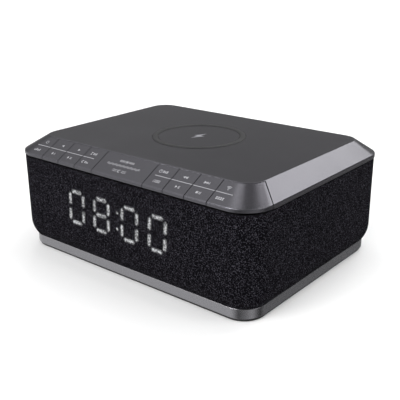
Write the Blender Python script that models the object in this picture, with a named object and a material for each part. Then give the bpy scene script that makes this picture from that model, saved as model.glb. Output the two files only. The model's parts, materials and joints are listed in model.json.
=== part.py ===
"""Clock radio with a wireless charging top, built as its separate pieces.

Every size below is in millimetres and is scaled to metres as the meshes are made.
X runs to the right, Y to the back and Z up. The origin is on the table, under the
middle of the cabinet. The cabinet is a rounded box: a base tray on rubber feet, a
cabinet shell in a fabric sleeve, and a hipped top cover whose front slope is nine keys.
"""

import math

import bmesh
import bpy
from mathutils import Matrix, Vector

MM = 0.001
GAP = 0.3  # between pieces that touch on the real object

# Outer form
WIDTH = 171.0
DEPTH = 130.0
HEIGHT = 66.5
BODY_RADIUS = 16.0
CORNER_STEPS = 8
HALF_WIDTH = WIDTH / 2
FRONT = -DEPTH / 2
BACK = DEPTH / 2

# Top cover: an upright lip, then a slope up to the flat top
LIP_BOTTOM = 56.8
LIP_TOP = 59.0
FRONT_SLOPE = 13.7  # plan width of each slope
SIDE_SLOPE = 10.0
BACK_SLOPE = 10.0
TOP_RADIUS = 10.0
LIP_WALL = 2.2
INNER_TOP = 64.4
INNER_SLOPE_FOOT = 58.2
INNER_TOP_INSET = 0.6

# Cabinet and base
FOOT_HEIGHT = 1.5
PLINTH_TOP = 7.0
PLINTH_INSET = 3.5
FABRIC_INSET = 0.3
FABRIC_THICKNESS = 0.7
FABRIC_TOP = 56.2
CURVE_TOP = 16.5  # the cabinet walls turn in below this height
CURVE_STEPS = 4
SHELL_INSET = FABRIC_INSET + FABRIC_THICKNESS + GAP
SHELL_WALL = 2.2
SHELL_TOP = 55.8
GASKET_INSET = 4.3
GASKET_WIDTH = 2.4
GASKET_BOTTOM = 0.4
TRAY_FLOOR = 3.5
TRAY_WALL = 2.2
PILLARS = [(sx * 62.0, sy * 41.0) for sx in (-1, 1) for sy in (-1, 1)]
PILLAR_RADIUS = 3.6
FEET = [(sx * 69.0, sy * 49.0) for sx in (-1, 1) for sy in (-1, 1)]
FOOT_RADIUS = 6.0

# Keys
KEY_SEAMS = [-59.2, -45.6, -32.0, -18.4, 18.4, 32.0, 45.6, 59.2]
KEY_GAP = 0.35
KEY_LIP_BOTTOM = 57.1
KEY_TRAVEL = 0.6
KEY_NAMES = [
    "key_power_mode",
    "key_back_alarm_1",
    "key_forward_alarm_2",
    "key_timer_sleep",
    "key_snooze_dimmer",
    "key_clock_set",
    "key_volume_down",
    "key_volume_up",
    "key_wireless_memory",
]
END_KEY_CENTRE = 66.0
SNOOZE_STEM_SPACING = 20.0
STEM_HALF = 2.0
STEM_END = -7.2  # along the slope's outward normal
BARB_TOP = -6.5
BARB_REACH = 0.8
FRAME_TOP = -4.6
FRAME_BOTTOM = -6.1
SWITCH_TOP = -8.0
SWITCH_SHOULDER = -8.9
BOARD_TOP = -10.6
BOARD_BOTTOM = -12.0

# Display, behind the front fabric
DIGIT_PITCH = 19.5
COLON_GAP = 1.4
DISPLAY_X = -2.35
DISPLAY_Z = 34.5
SEGMENT_HALF_HEIGHT = 9.1  # middle bar to top bar
SEGMENT_HALF_WIDTH = 5.3
SEGMENT_THICKNESS = 2.4
SEGMENT_LENGTH_V = 7.8
SEGMENT_LENGTH_H = 9.0
DIGIT_SLANT = 0.06
MASK_HALF = (42.0, 13.6)
COLON_DOT_Z = 4.6  # above and below the digits' middle
COLON_DOT_RADIUS = 0.9

# Rear panel and its sockets
PANEL_HALF_WIDTH = 33.0
PANEL_Z = (18.4, 33.6)
SOCKET_Z = 26.0
DC_X = 24.0
USB_X = 6.0
AUX_X = -10.0
AERIAL_X = -24.0
PANEL_BACK = BACK - 2.4
GLAND_SEAT = BACK - 1.1

# Boards
MAIN_BOARD = ((-50.0, 4.0, 18.6), (50.0, 60.6, 20.2))
PEG_RADIUS = 1.2
PEG_HOLE_RADIUS = 1.5
BOARD_PEGS = [(sx * 45.0, y) for sx in (-1, 1) for y in (8.0, 55.0)]
CHARGER_BOARD = ((-30.0, -24.0, 58.6), (30.0, 28.0, 59.8))
CHARGER_PEGS = [(sx * 26.5, y) for sx in (-1, 1) for y in (-20.5, 24.5)]
COIL_CENTRE = (0.0, 2.0)
PAD_RADIUS = 27.0
PAD_WIDTH = 3.5
PAD_DEPTH = 0.6

# Loudspeakers, one firing through each side
SPEAKER_Z = 34.5
SPEAKER_FACE = HALF_WIDTH - SHELL_INSET - SHELL_WALL - GAP - 0.2
CONE_TRAVEL = 1.0

# Clock backup battery, under the base
BATTERY_CENTRE = (-25.0, -22.0)
COVER_RADIUS = 12.2

GREY = ("satin_grey", (0.115, 0.115, 0.122), 0.38, 0.35)
BLACK = ("black_plastic", (0.012, 0.012, 0.013), 0.5, 0.0)
FABRIC = ("black_fabric", (0.02, 0.02, 0.023), 0.95, 0.0)
RUBBER = ("black_rubber", (0.015, 0.015, 0.015), 0.8, 0.0)
BOARD = ("green_board", (0.015, 0.13, 0.05), 0.45, 0.0)
STEEL = ("bright_steel", (0.62, 0.62, 0.64), 0.28, 1.0)
COPPER = ("copper", (0.72, 0.33, 0.16), 0.3, 1.0)
FERRITE = ("ferrite", (0.03, 0.03, 0.032), 0.6, 0.0)
PAPER = ("cone_paper", (0.03, 0.03, 0.035), 0.85, 0.0)
DIFFUSER = ("white_diffuser", (0.8, 0.82, 0.85), 0.4, 0.0)
WIRE = ("wire_jacket", (0.25, 0.02, 0.02), 0.55, 0.0)


# ---------------------------------------------------------------- mesh builders


def rounded_rectangle(x0, x1, y0, y1, radius, steps=CORNER_STEPS):
    """Plan points, anticlockwise, starting where the front right corner begins."""
    corners = [
        (x1 - radius, y0 + radius, -90),
        (x1 - radius, y1 - radius, 0),
        (x0 + radius, y1 - radius, 90),
        (x0 + radius, y0 + radius, 180),
    ]
    points = []
    for cx, cy, start in corners:
        for step in range(steps + 1):
            turn = math.radians(start + 90 * step / steps)
            points.append((cx + radius * math.cos(turn), cy + radius * math.sin(turn)))
    return points


def body_outline(inset):
    """The cabinet's plan outline, moved in by inset."""
    return rounded_rectangle(
        -HALF_WIDTH + inset, HALF_WIDTH - inset, FRONT + inset, BACK - inset, BODY_RADIUS - inset
    )


def top_outline(inset=0.0):
    """The edge of the flat top, moved in by inset."""
    return rounded_rectangle(
        -HALF_WIDTH + SIDE_SLOPE + inset,
        HALF_WIDTH - SIDE_SLOPE - inset,
        FRONT + FRONT_SLOPE + inset,
        BACK - BACK_SLOPE - inset,
        TOP_RADIUS - inset,
    )


def at_height(outline, z):
    return [(x, y, z) for x, y in outline]


def loft(rings, tube=False):
    """A closed mesh through rings of equal length; a tube's last ring joins its first."""
    bm = bmesh.new()
    loops = [[bm.verts.new(Vector(p) * MM) for p in ring] for ring in rings]
    pairs = list(zip(loops, loops[1:]))
    if tube:
        pairs.append((loops[-1], loops[0]))
    else:
        bm.faces.new(loops[0])
        bm.faces.new(loops[-1])
    for lower, upper in pairs:
        for i in range(len(lower)):
            j = (i + 1) % len(lower)
            bm.faces.new((lower[i], lower[j], upper[j], upper[i]))
    bmesh.ops.recalc_face_normals(bm, faces=bm.faces)
    return bm


def prism(outline, z0, z1):
    return loft([at_height(outline, z0), at_height(outline, z1)])


def block(low, high, frame=None):
    """A box between two corners, in a tilted frame if one is given."""
    bm = bmesh.new()
    bmesh.ops.create_cube(bm, size=1.0)
    size = [abs(b - a) for a, b in zip(low, high)]
    middle = Vector([(a + b) / 2 for a, b in zip(low, high)])
    place = Matrix.Translation(middle * MM) @ Matrix.Diagonal((*[s * MM for s in size], 1.0))
    bm.transform((frame or Matrix.Identity(4)) @ place)
    return bm


def turned(profile, centre, axis, steps=20, frame=None):
    """A solid of revolution. profile holds (radius, distance along axis)."""
    bm = bmesh.new()
    rings = []
    for radius, along in profile:
        if radius < 1e-6:
            rings.append([bm.verts.new((0, 0, along * MM))])
            continue
        turns = [2 * math.pi * k / steps for k in range(steps)]
        ring = [(radius * MM * math.cos(t), radius * MM * math.sin(t), along * MM) for t in turns]
        rings.append([bm.verts.new(co) for co in ring])
    pairs = list(zip(rings, rings[1:]))
    if len(rings[0]) > 1 and len(rings[-1]) > 1:
        pairs.append((rings[-1], rings[0]))
    for a, b in pairs:
        for i in range(steps):
            j = (i + 1) % steps
            if len(a) == 1:
                bm.faces.new((a[0], b[j], b[i]))
            elif len(b) == 1:
                bm.faces.new((a[i], a[j], b[0]))
            else:
                bm.faces.new((a[i], a[j], b[j], b[i]))
    bmesh.ops.recalc_face_normals(bm, faces=bm.faces)
    turn = Vector(axis).to_track_quat("Z", "Y").to_matrix().to_4x4()
    bm.transform((frame or Matrix.Identity(4)) @ Matrix.Translation(Vector(centre) * MM) @ turn)
    return bm


def rod(radius, centre, axis, length, steps=16, frame=None):
    profile = [(0, 0), (radius, 0), (radius, length), (0, length)]
    return turned(profile, centre, axis, steps, frame)


def pipe(inner, outer, centre, axis, length, steps=20):
    profile = [(inner, 0), (outer, 0), (outer, length), (inner, length)]
    return turned(profile, centre, axis, steps)


def merged(*meshes):
    """Several meshes in one, for a tool that joins or cuts in several places."""
    whole = bmesh.new()
    for bm in meshes:
        mesh = bpy.data.meshes.new("part_of_tool")
        bm.to_mesh(mesh)
        bm.free()
        whole.from_mesh(mesh)
        bpy.data.meshes.remove(mesh)
    return whole


# ------------------------------------------------------------- scene and objects


def material(finish):
    name, colour, roughness, metallic = finish
    found = bpy.data.materials.get(name)
    if found:
        return found
    made = bpy.data.materials.new(name)
    made.use_nodes = True
    shader = made.node_tree.nodes["Principled BSDF"]
    shader.inputs["Base Color"].default_value = (*colour, 1.0)
    shader.inputs["Roughness"].default_value = roughness
    shader.inputs["Metallic"].default_value = metallic
    made.diffuse_color = (*colour, 1.0)
    return made


def new_object(name, bm, finish, origin=(0, 0, 0)):
    """One object, with its origin at the given point."""
    mesh = bpy.data.meshes.new(name)
    bm.transform(Matrix.Translation(-Vector(origin) * MM))
    bm.to_mesh(mesh)
    bm.free()
    obj = bpy.data.objects.new(name, mesh)
    obj.location = Vector(origin) * MM
    bpy.context.scene.collection.objects.link(obj)
    mesh.materials.append(material(finish))
    mesh.shade_smooth()
    mesh.set_sharp_from_angle(angle=math.radians(30))
    return obj


def tooled(obj, operation, bm):
    """Adds a Boolean to obj, with bm as its tool."""
    mesh = bpy.data.meshes.new("tool")
    bm.to_mesh(mesh)
    bm.free()
    tool = bpy.data.objects.new(f"{obj.name}_tool", mesh)
    tool.hide_render = True
    tool.display_type = "WIRE"
    bpy.context.scene.collection.objects.link(tool)
    modifier = obj.modifiers.new(operation.title(), "BOOLEAN")
    modifier.operation = operation
    modifier.solver = "EXACT"
    modifier.object = tool
    return obj


def join(obj, *meshes):
    return tooled(obj, "UNION", merged(*meshes))


def cut(obj, *meshes):
    return tooled(obj, "DIFFERENCE", merged(*meshes))


def keep(obj, bm):
    return tooled(obj, "INTERSECT", bm)


# -------------------------------------------------------------------- top cover

SLOPE_RISE = HEIGHT - LIP_TOP
SLOPE_ANGLE = math.atan2(SLOPE_RISE, FRONT_SLOPE)
SLOPE_MIDDLE = (0.0, FRONT + FRONT_SLOPE / 2, LIP_TOP + SLOPE_RISE / 2)
# Local X is the object's X, local Y runs up the front slope and local Z out of it.
SLOPE_FRAME = Matrix.Translation(Vector(SLOPE_MIDDLE) * MM) @ Matrix.Rotation(SLOPE_ANGLE, 4, "X")


def cap_mesh():
    """The whole top: lip, slopes and flat top, as one hollow cap."""
    return loft(
        [
            at_height(top_outline(INNER_TOP_INSET), INNER_TOP),
            at_height(body_outline(LIP_WALL), INNER_SLOPE_FOOT),
            at_height(body_outline(LIP_WALL), LIP_BOTTOM),
            at_height(body_outline(0), LIP_BOTTOM),
            at_height(body_outline(0), LIP_TOP),
            at_height(top_outline(), HEIGHT),
        ]
    )


def corner_seam(gap):
    """Plan points of the right end key's border: the side seam, then round to the front edge."""
    inner = Vector((HALF_WIDTH - SIDE_SLOPE, FRONT + FRONT_SLOPE + TOP_RADIUS))
    outer = Vector((HALF_WIDTH, FRONT + BODY_RADIUS))
    along = (outer - inner).normalized()
    aside = Vector((along.y, -along.x)) * gap
    arc = top_outline(-gap)[: CORNER_STEPS + 1]
    far = outer + along * 12 + aside
    near = inner + aside + along * 2 * gap
    return [tuple(far), tuple(near)] + list(reversed(arc))[1:]


def mirrored(points):
    return [(-x, y) for x, y in reversed(points)]


def key_region(left, right, gap):
    """Plan region of a key from seam to seam; None stands for a cabinet corner."""
    ahead = FRONT - 10
    edge = FRONT + FRONT_SLOPE - gap
    right_side = corner_seam(gap) if right is None else [(right, edge)]
    left_side = mirrored(corner_seam(gap)) if left is None else [(left, edge)]
    right_end = right_side[0][0]
    left_end = left_side[-1][0]
    return [(left_end, ahead), (right_end, ahead)] + right_side + left_side


def key_spans():
    """Each key's name and its left and right seams."""
    seams = [None] + KEY_SEAMS + [None]
    return list(zip(KEY_NAMES, seams, seams[1:]))


def key_centre(left, right):
    if left is None:
        return -END_KEY_CENTRE
    if right is None:
        return END_KEY_CENTRE
    return (left + right) / 2


def stem_places(left, right):
    middle = key_centre(left, right)
    if left is not None and right is not None and right - left > 2 * (KEY_SEAMS[1] - KEY_SEAMS[0]):
        return [middle - SNOOZE_STEM_SPACING / 2, middle + SNOOZE_STEM_SPACING / 2]
    return [middle]


def make_keys():
    """Nine keys that wrap over the front slope; each slides in along the slope's normal."""
    half = KEY_GAP / 2
    for name, left, right in key_spans():
        x0 = None if left is None else left + half
        x1 = None if right is None else right - half
        origin = (key_centre(left, right), SLOPE_MIDDLE[1], SLOPE_MIDDLE[2])
        key = new_object(name, cap_mesh(), GREY, origin)
        region = prism(key_region(x0, x1, KEY_GAP), KEY_LIP_BOTTOM, HEIGHT + 5)
        keep(key, shifted(region, origin))
        stems = []
        barbs = []
        for x in stem_places(left, right):
            reach = STEM_HALF + BARB_REACH
            deep = STEM_HALF + 0.05
            stem_low = (x - STEM_HALF, -STEM_HALF, STEM_END)
            stem_high = (x + STEM_HALF, STEM_HALF, -1)
            stems.append(block(stem_low, stem_high, SLOPE_FRAME))
            barb_low = (x - reach, -deep, STEM_END - 0.05)
            barb_high = (x + reach, deep, BARB_TOP)
            barbs.append(block(barb_low, barb_high, SLOPE_FRAME))
        join(key, shifted(merged(*stems), origin))
        join(key, shifted(merged(*barbs), origin))
        place_tools(key)


def shifted(bm, origin):
    """A tool mesh moved so that its object can share the piece's own origin."""
    bm.transform(Matrix.Translation(-Vector(origin) * MM))
    return bm


def place_tools(obj):
    for modifier in obj.modifiers:
        modifier.object.location = obj.location


def make_top_cover():
    """The flat top with the side and back slopes, and the pillars that the base screws grip."""
    cover = new_object("top_cover", cap_mesh(), GREY)
    cut(cover, prism(key_region(None, None, 0), LIP_BOTTOM - 10, HEIGHT + 10))
    bottom = 9.0
    pillars = [rod(PILLAR_RADIUS, (x, y, bottom), (0, 0, 1), INNER_TOP + 1 - bottom) for x, y in PILLARS]
    pegs = [rod(PEG_RADIUS, (x, y, 57.6), (0, 0, 1), INNER_TOP + 1 - 57.6, 10) for x, y in CHARGER_PEGS]
    ledges = [rod(2.4, (x, y, 60.1), (0, 0, 1), INNER_TOP + 0.8 - 60.1, 12) for x, y in CHARGER_PEGS]
    stake_foot = 61.0
    stake_height = INNER_TOP + 1 - stake_foot
    stakes = []
    for x in FRAME_STAKES:
        stakes.append(rod(PEG_RADIUS, (x, FRAME_FLANGE_Y, stake_foot), (0, 0, 1), stake_height, 10))
    join(cover, *pillars, *pegs, *stakes)
    join(cover, *ledges)
    holes = [rod(1.7, (x, y, bottom - 1), (0, 0, 1), 14.0, 12) for x, y in PILLARS]
    pad = pipe(PAD_RADIUS - PAD_WIDTH, PAD_RADIUS, (*COIL_CENTRE, HEIGHT - PAD_DEPTH), (0, 0, 1), 2.0, 48)
    cut(cover, *holes, pad)


def make_charging_pad():
    """The soft ring that a telephone rests on, let into the flat top."""
    inner = PAD_RADIUS - PAD_WIDTH + GAP / 2
    outer = PAD_RADIUS - GAP / 2
    base = HEIGHT - PAD_DEPTH + GAP / 2
    profile = [(inner, 0), (outer, 0), (outer, 0.75), (outer - 0.5, 1.0), (inner + 0.5, 1.0), (inner, 0.75)]
    new_object("charging_pad_ring", turned(profile, (*COIL_CENTRE, base), (0, 0, 1), 48), RUBBER)


# -------------------------------------------------------- key frame and key board

FRAME_FLANGE_Y = -47.4
FRAME_STAKES = [-64.0, -25.0, 25.0, 64.0]
FRAME_HALF_WIDTH = 69.4


def make_key_frame():
    """The rail under the keys: their stems hook through its windows."""
    frame = new_object(
        "key_frame",
        block((-FRAME_HALF_WIDTH, -6.0, FRAME_BOTTOM), (FRAME_HALF_WIDTH, 7.4, FRAME_TOP), SLOPE_FRAME),
        BLACK,
    )
    flange = block((-FRAME_HALF_WIDTH, -50.3, 61.8), (FRAME_HALF_WIDTH, -45.1, 63.4))
    join(frame, flange)
    windows = []
    for _, left, right in key_spans():
        for x in stem_places(left, right):
            clear = STEM_HALF + 0.45
            windows.append(block((x - clear, -clear, -9), (x + clear, clear, -2), SLOPE_FRAME))
    holes = [rod(1.55, (x, FRAME_FLANGE_Y, 60), (0, 0, 1), 5, 10) for x in FRAME_STAKES]
    cut(frame, *windows, *holes)


def make_key_board():
    """The switch board along the keys, with one push switch under each stem."""
    board = new_object(
        "key_board",
        block((-71.0, -5.8, BOARD_BOTTOM), (71.0, 5.8, BOARD_TOP), SLOPE_FRAME),
        BOARD,
    )
    bodies = []
    plungers = []
    for _, left, right in key_spans():
        for x in stem_places(left, right):
            bodies.append(block((x - 3, -3, BOARD_TOP - 0.5), (x + 3, 3, SWITCH_SHOULDER), SLOPE_FRAME))
            foot = SWITCH_SHOULDER - 0.4
            plungers.append(rod(1.6, (x, 0, foot), (0, 0, 1), SWITCH_TOP - foot, 10, SLOPE_FRAME))
    join(board, *bodies)
    join(board, *plungers)


# ----------------------------------------------------------------- cabinet pieces


def wall_profile(outer_inset, top, foot_z):
    """(inset, z) down an outside wall: upright, then a shallow arc in to the plinth."""
    drop = CURVE_TOP - PLINTH_TOP
    turn_in = PLINTH_INSET - FABRIC_INSET
    radius = (drop * drop + turn_in * turn_in) / (2 * turn_in)
    profile = [(outer_inset, top)]
    for step in range(CURVE_STEPS + 1):
        below = (CURVE_TOP - foot_z) * step / CURVE_STEPS
        inset = outer_inset + radius - math.sqrt(radius * radius - below * below)
        profile.append((inset, CURVE_TOP - below))
    return profile


def sleeve(inset, thickness, top, foot):
    """A hollow tube that follows the cabinet's outline and wall profile."""
    outer = wall_profile(inset, top, foot)
    inner = [(i + thickness, z) for i, z in reversed(outer)]
    return loft([at_height(body_outline(i), z) for i, z in outer + inner], tube=True)


def rear_opening(margin, y0=BACK - 10, y1=BACK + 5):
    """The rear panel's place, as a cutter."""
    half = PANEL_HALF_WIDTH + margin
    outline = rounded_rectangle(-half, half, PANEL_Z[0] - margin, PANEL_Z[1] + margin, 2 + margin, 4)
    return loft([[(x, y0, z) for x, z in outline], [(x, y1, z) for x, z in outline]])


def make_fabric():
    """The stretched cloth round the cabinet, cut out round the rear panel."""
    fabric = new_object(
        "fabric_sleeve", sleeve(FABRIC_INSET, FABRIC_THICKNESS, FABRIC_TOP, PLINTH_TOP + GAP), FABRIC
    )
    cut(fabric, rear_opening(GAP))


def make_cabinet_shell():
    """The moulded cabinet: display window, sound slots at each side and the rear opening."""
    shell = new_object("cabinet_shell", sleeve(SHELL_INSET, SHELL_WALL, SHELL_TOP, PLINTH_TOP + 1.0), BLACK)
    half_x, half_z = (side + GAP for side in MASK_HALF)
    window_low = (DISPLAY_X - half_x, FRONT - 5, DISPLAY_Z - half_z)
    window_high = (DISPLAY_X + half_x, FRONT + 8, DISPLAY_Z + half_z)
    window = block(window_low, window_high)
    slots = []
    for side in (-1, 1):
        for row in range(-2, 3):
            reach = 15.5 - abs(row) * 2.6
            y = row * 6.4
            slot_inner = (side * (HALF_WIDTH - 8), y - 1.8, SPEAKER_Z - reach)
            slot_outer = (side * (HALF_WIDTH + 5), y + 1.8, SPEAKER_Z + reach)
            slots.append(block(slot_inner, slot_outer))
    cut(shell, window, rear_opening(-1.2), *slots)


def make_base_tray():
    """The grey plinth and floor, with screw bosses, board posts and the battery hole."""
    outer = body_outline(PLINTH_INSET)
    inner = body_outline(PLINTH_INSET + TRAY_WALL)
    tray = new_object(
        "base_tray",
        loft(
            [
                at_height(inner, TRAY_FLOOR),
                at_height(inner, PLINTH_TOP),
                at_height(outer, PLINTH_TOP),
                at_height(outer, FOOT_HEIGHT + 0.5),
                at_height(body_outline(PLINTH_INSET + 0.5), FOOT_HEIGHT),
            ]
        ),
        GREY,
    )
    bosses = [rod(5.2, (x, y, TRAY_FLOOR - 1), (0, 0, 1), 8.7 - TRAY_FLOOR + 1, 20) for x, y in PILLARS]
    post_height = MAIN_BOARD[0][2] - GAP - TRAY_FLOOR + 1
    posts = [rod(3.0, (x, y, TRAY_FLOOR - 1), (0, 0, 1), post_height, 12) for x, y in BOARD_PEGS]
    pegs = [rod(PEG_RADIUS, (x, y, 15), (0, 0, 1), 6.6, 10) for x, y in BOARD_PEGS]
    ring = pipe(13.9, 15.6, (*BATTERY_CENTRE, TRAY_FLOOR - 0.5), (0, 0, 1), 2.0, 28)
    join(tray, *bosses, *posts, ring)
    join(tray, *pegs)
    bores = [rod(1.75, (x, y, 0), (0, 0, 1), 12, 12) for x, y in PILLARS]
    seats = [rod(3.4, (x, y, 0), (0, 0, 1), 4.6, 16) for x, y in PILLARS]
    wells = [rod(FOOT_RADIUS + GAP, (x, y, 0), (0, 0, 1), FOOT_HEIGHT + 0.8, 20) for x, y in FEET]
    hole = rod(COVER_RADIUS + GAP, (*BATTERY_CENTRE, 0), (0, 0, 1), 8, 28)
    notches = []
    for side in (-1, 1):
        notches.append(
            block(
                (BATTERY_CENTRE[0] - 3.2, BATTERY_CENTRE[1] + side * 9, 0),
                (BATTERY_CENTRE[0] + 3.2, BATTERY_CENTRE[1] + side * 13.7, 8),
            )
        )
    cut(tray, *bores, *wells, hole)
    cut(tray, *seats)
    cut(tray, *notches)


def make_base_gasket():
    """A dark strip round the underside that hides the gap between the plinth and the table."""
    top = FOOT_HEIGHT - GAP
    outer = body_outline(GASKET_INSET)
    inner = body_outline(GASKET_INSET + GASKET_WIDTH)
    rings = [(outer, top), (outer, GASKET_BOTTOM), (inner, GASKET_BOTTOM), (inner, top)]
    new_object("base_gasket", loft([at_height(o, z) for o, z in rings], tube=True), RUBBER)


def make_feet():
    top = FOOT_HEIGHT + 0.5
    profile = [(0, 0), (FOOT_RADIUS - 0.5, 0), (FOOT_RADIUS, 0.5), (FOOT_RADIUS, top), (0, top)]
    for number, (x, y) in enumerate(FEET, 1):
        new_object(f"foot_{number}", turned(profile, (x, y, 0), (0, 0, 1), 20), RUBBER)


def make_base_screws():
    """Countersunk from below: each passes the tray and grips a pillar of the top cover."""
    head = [(0, 0), (2.6, 0), (2.9, 0.4), (2.9, 2.0)]
    shank = [(1.4, 2.0), (1.4, 16.0), (0.4, 17.5), (0, 17.5)]
    profile = head + shank
    for number, (x, y) in enumerate(PILLARS, 1):
        screw = new_object(f"base_screw_{number}", turned(profile, (x, y, 2.3), (0, 0, 1), 12), STEEL)
        cut(screw, merged(block((x - 1.7, y - 0.4, 1.5), (x + 1.7, y + 0.4, 3.4))))
        cut(screw, merged(block((x - 0.4, y - 1.7, 1.4), (x + 0.4, y + 1.7, 3.5))))


# ------------------------------------------------------------ rear panel, sockets


def make_rear_panel():
    y0, y1 = BACK - SHELL_INSET + GAP, BACK - FABRIC_INSET - 0.1
    outline = rounded_rectangle(-PANEL_HALF_WIDTH, PANEL_HALF_WIDTH, *PANEL_Z, 2, 4)
    panel = new_object("rear_panel", loft([[(x, y, z) for x, z in outline] for y in (y0, y1)]), BLACK)
    plug_inset = 1.2 + GAP + 0.1
    plug = block(
        (-PANEL_HALF_WIDTH + plug_inset, PANEL_BACK, PANEL_Z[0] + plug_inset),
        (PANEL_HALF_WIDTH - plug_inset, y0 + 0.2, PANEL_Z[1] - plug_inset),
    )
    join(panel, plug)
    usb = block((USB_X - 7.0, BACK - 6, SOCKET_Z - 3.4), (USB_X + 7.0, BACK + 2, SOCKET_Z + 3.4))
    dc = rod(4.3, (DC_X, BACK - 6, SOCKET_Z), (0, 1, 0), 8, 20)
    aux = rod(3.5, (AUX_X, BACK - 6, SOCKET_Z), (0, 1, 0), 8, 20)
    aerial = rod(2.0, (AERIAL_X, BACK - 6, SOCKET_Z), (0, 1, 0), 8, 16)
    rebate = rod(3.0, (AERIAL_X, GLAND_SEAT, SOCKET_Z), (0, 1, 0), 4, 16)
    cut(panel, usb, dc, aux, aerial)
    cut(panel, rebate)


def make_sockets():
    face = BACK - 0.7
    floor = MAIN_BOARD[1][2] + GAP
    body = block((DC_X - 4.6, face - 14, floor), (DC_X + 4.6, face - 2.0, SOCKET_Z + 4.6))
    dc = new_object("dc_power_jack", body, BLACK)
    join(dc, rod(3.9, (DC_X, face - 4, SOCKET_Z), (0, 1, 0), 4, 20))
    cut(dc, pipe(1.0, 2.8, (DC_X, face - 9, SOCKET_Z), (0, 1, 0), 12, 16))

    shell = block((USB_X - 6.6, face - 14, SOCKET_Z - 2.9), (USB_X + 6.6, face, SOCKET_Z + 2.9))
    usb = new_object("usb_port_shell", shell, STEEL)
    cut(usb, block((USB_X - 6.1, face - 13, SOCKET_Z - 2.4), (USB_X + 6.1, face + 1, SOCKET_Z + 2.4)))
    tongue = block((USB_X - 5.4, face - 12.7, SOCKET_Z + 0.3), (USB_X + 5.4, face - 1.2, SOCKET_Z + 2.1))
    new_object("usb_port_tongue", tongue, BLACK)
    riser = block((USB_X - 6.0, face - 13, floor), (USB_X + 6.0, face - 4, SOCKET_Z - 2.9 - GAP))
    new_object("usb_port_riser", riser, BLACK)

    body = block((AUX_X - 3.6, face - 13, floor), (AUX_X + 3.6, face - 2.0, SOCKET_Z + 3.4))
    aux = new_object("aux_audio_jack", body, BLACK)
    join(aux, rod(3.1, (AUX_X, face - 4, SOCKET_Z), (0, 1, 0), 4, 20))
    cut(aux, rod(1.8, (AUX_X, face - 11, SOCKET_Z), (0, 1, 0), 14, 12))

    seat = GLAND_SEAT + GAP / 2 - PANEL_BACK
    inner_flange = [(0.7, -1.2), (2.7, -1.2), (2.7, -GAP), (1.7, -GAP)]
    outer_flange = [(1.7, seat), (2.7, seat), (2.7, seat + 0.8), (0.7, seat + 0.8)]
    profile = inner_flange + outer_flange
    gland = turned(profile, (AERIAL_X, PANEL_BACK, SOCKET_Z), (0, 1, 0), 16)
    new_object("aerial_gland", gland, RUBBER)


# ---------------------------------------------------------------- display module


def segment_bars():
    """Plan bars of one digit: (name, centre x, centre z, upright)."""
    w, h = SEGMENT_HALF_WIDTH, SEGMENT_HALF_HEIGHT
    return {
        "top": (0, h, False),
        "middle": (0, 0, False),
        "bottom": (0, -h, False),
        "upper_left": (-w, h / 2, True),
        "upper_right": (w, h / 2, True),
        "lower_left": (-w, -h / 2, True),
        "lower_right": (w, -h / 2, True),
    }


def digit_centres():
    """X of the four digits, with the colon's gap in the middle."""
    half = (DIGIT_PITCH + COLON_GAP) / 2
    return [DISPLAY_X + x for x in (-half - DIGIT_PITCH, -half, half, half + DIGIT_PITCH)]


def bar_outline(x, z, upright, grow):
    """A pointed bar, leaning with the digits' slant."""
    length = SEGMENT_LENGTH_V if upright else SEGMENT_LENGTH_H
    half, wide = length / 2 + grow, SEGMENT_THICKNESS / 2 + grow
    tip = wide * 0.8
    flat = half - tip
    shape = [(-half, 0), (-flat, -wide), (flat, -wide), (half, 0), (flat, wide), (-flat, wide)]
    if upright:
        shape = [(-b, a) for a, b in shape]
    return [(x + a + DIGIT_SLANT * (z + b), z + b) for a, b in shape]


def display_bars(grow, y0, y1):
    """Every bar and both colon dots as solids between two depths."""
    solids = []
    for centre in digit_centres():
        for x, z, upright in segment_bars().values():
            outline = bar_outline(x, z, upright, grow)
            solids.append(loft([[(centre + a, y, DISPLAY_Z + b) for a, b in outline] for y in (y0, y1)]))
    for z in (-COLON_DOT_Z, COLON_DOT_Z):
        x = DISPLAY_X + DIGIT_SLANT * z
        solids.append(rod(COLON_DOT_RADIUS + grow, (x, y0, DISPLAY_Z + z), (0, 1, 0), y1 - y0, 10))
    return solids


def make_display():
    """LED display: a black mask, a light guide whose bars fill its slots, and the LED board."""
    face = FRONT + SHELL_INSET
    half_x, half_z = MASK_HALF
    x0, x1 = DISPLAY_X - half_x, DISPLAY_X + half_x
    z0, z1 = DISPLAY_Z - half_z, DISPLAY_Z + half_z
    mask = new_object("display_mask", block((x0, face, z0), (x1, face + 3.0, z1)), BLACK)
    cut(mask, *display_bars(GAP, face - 2, face + 5))
    guide = new_object(
        "display_light_guide", block((x0, face + 3.3, z0 + 0.5), (x1, face + 4.8, z1 - 0.5)), DIFFUSER
    )
    join(guide, *display_bars(0.0, face + 0.3, face + 4.0))
    board = block((x0, face + 5.1, z0), (x1, face + 6.5, z1))
    new_object("display_board", board, BOARD)


# ------------------------------------------------------------------ inner boards


def make_main_board():
    low, high = MAIN_BOARD
    board = new_object("main_board", block(low, high), BOARD)
    cut(board, *[rod(PEG_HOLE_RADIUS, (x, y, low[2] - 3), (0, 0, 1), 8, 10) for x, y in BOARD_PEGS])
    top = high[2] + GAP
    can = new_object("radio_shield_can", block((-34, 12, top), (-12, 30, top + 4.5)), STEEL)
    bevel_edges(can, 0.6)
    chip = block((4, 12, top), (18, 26, top + 1.8))
    new_object("control_chip", chip, BLACK)
    foot = [(0, 0), (3.8, 0), (4.0, 0.3), (4.0, 1.2), (3.8, 1.6)]
    profile = foot + [(4.0, 2.0), (4.0, 9.2), (3.6, 9.6), (0, 9.6)]
    for number, x in enumerate((30.0, 40.0), 1):
        new_object(f"smoothing_capacitor_{number}", turned(profile, (x, 22, top), (0, 0, 1), 16), STEEL)


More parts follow.
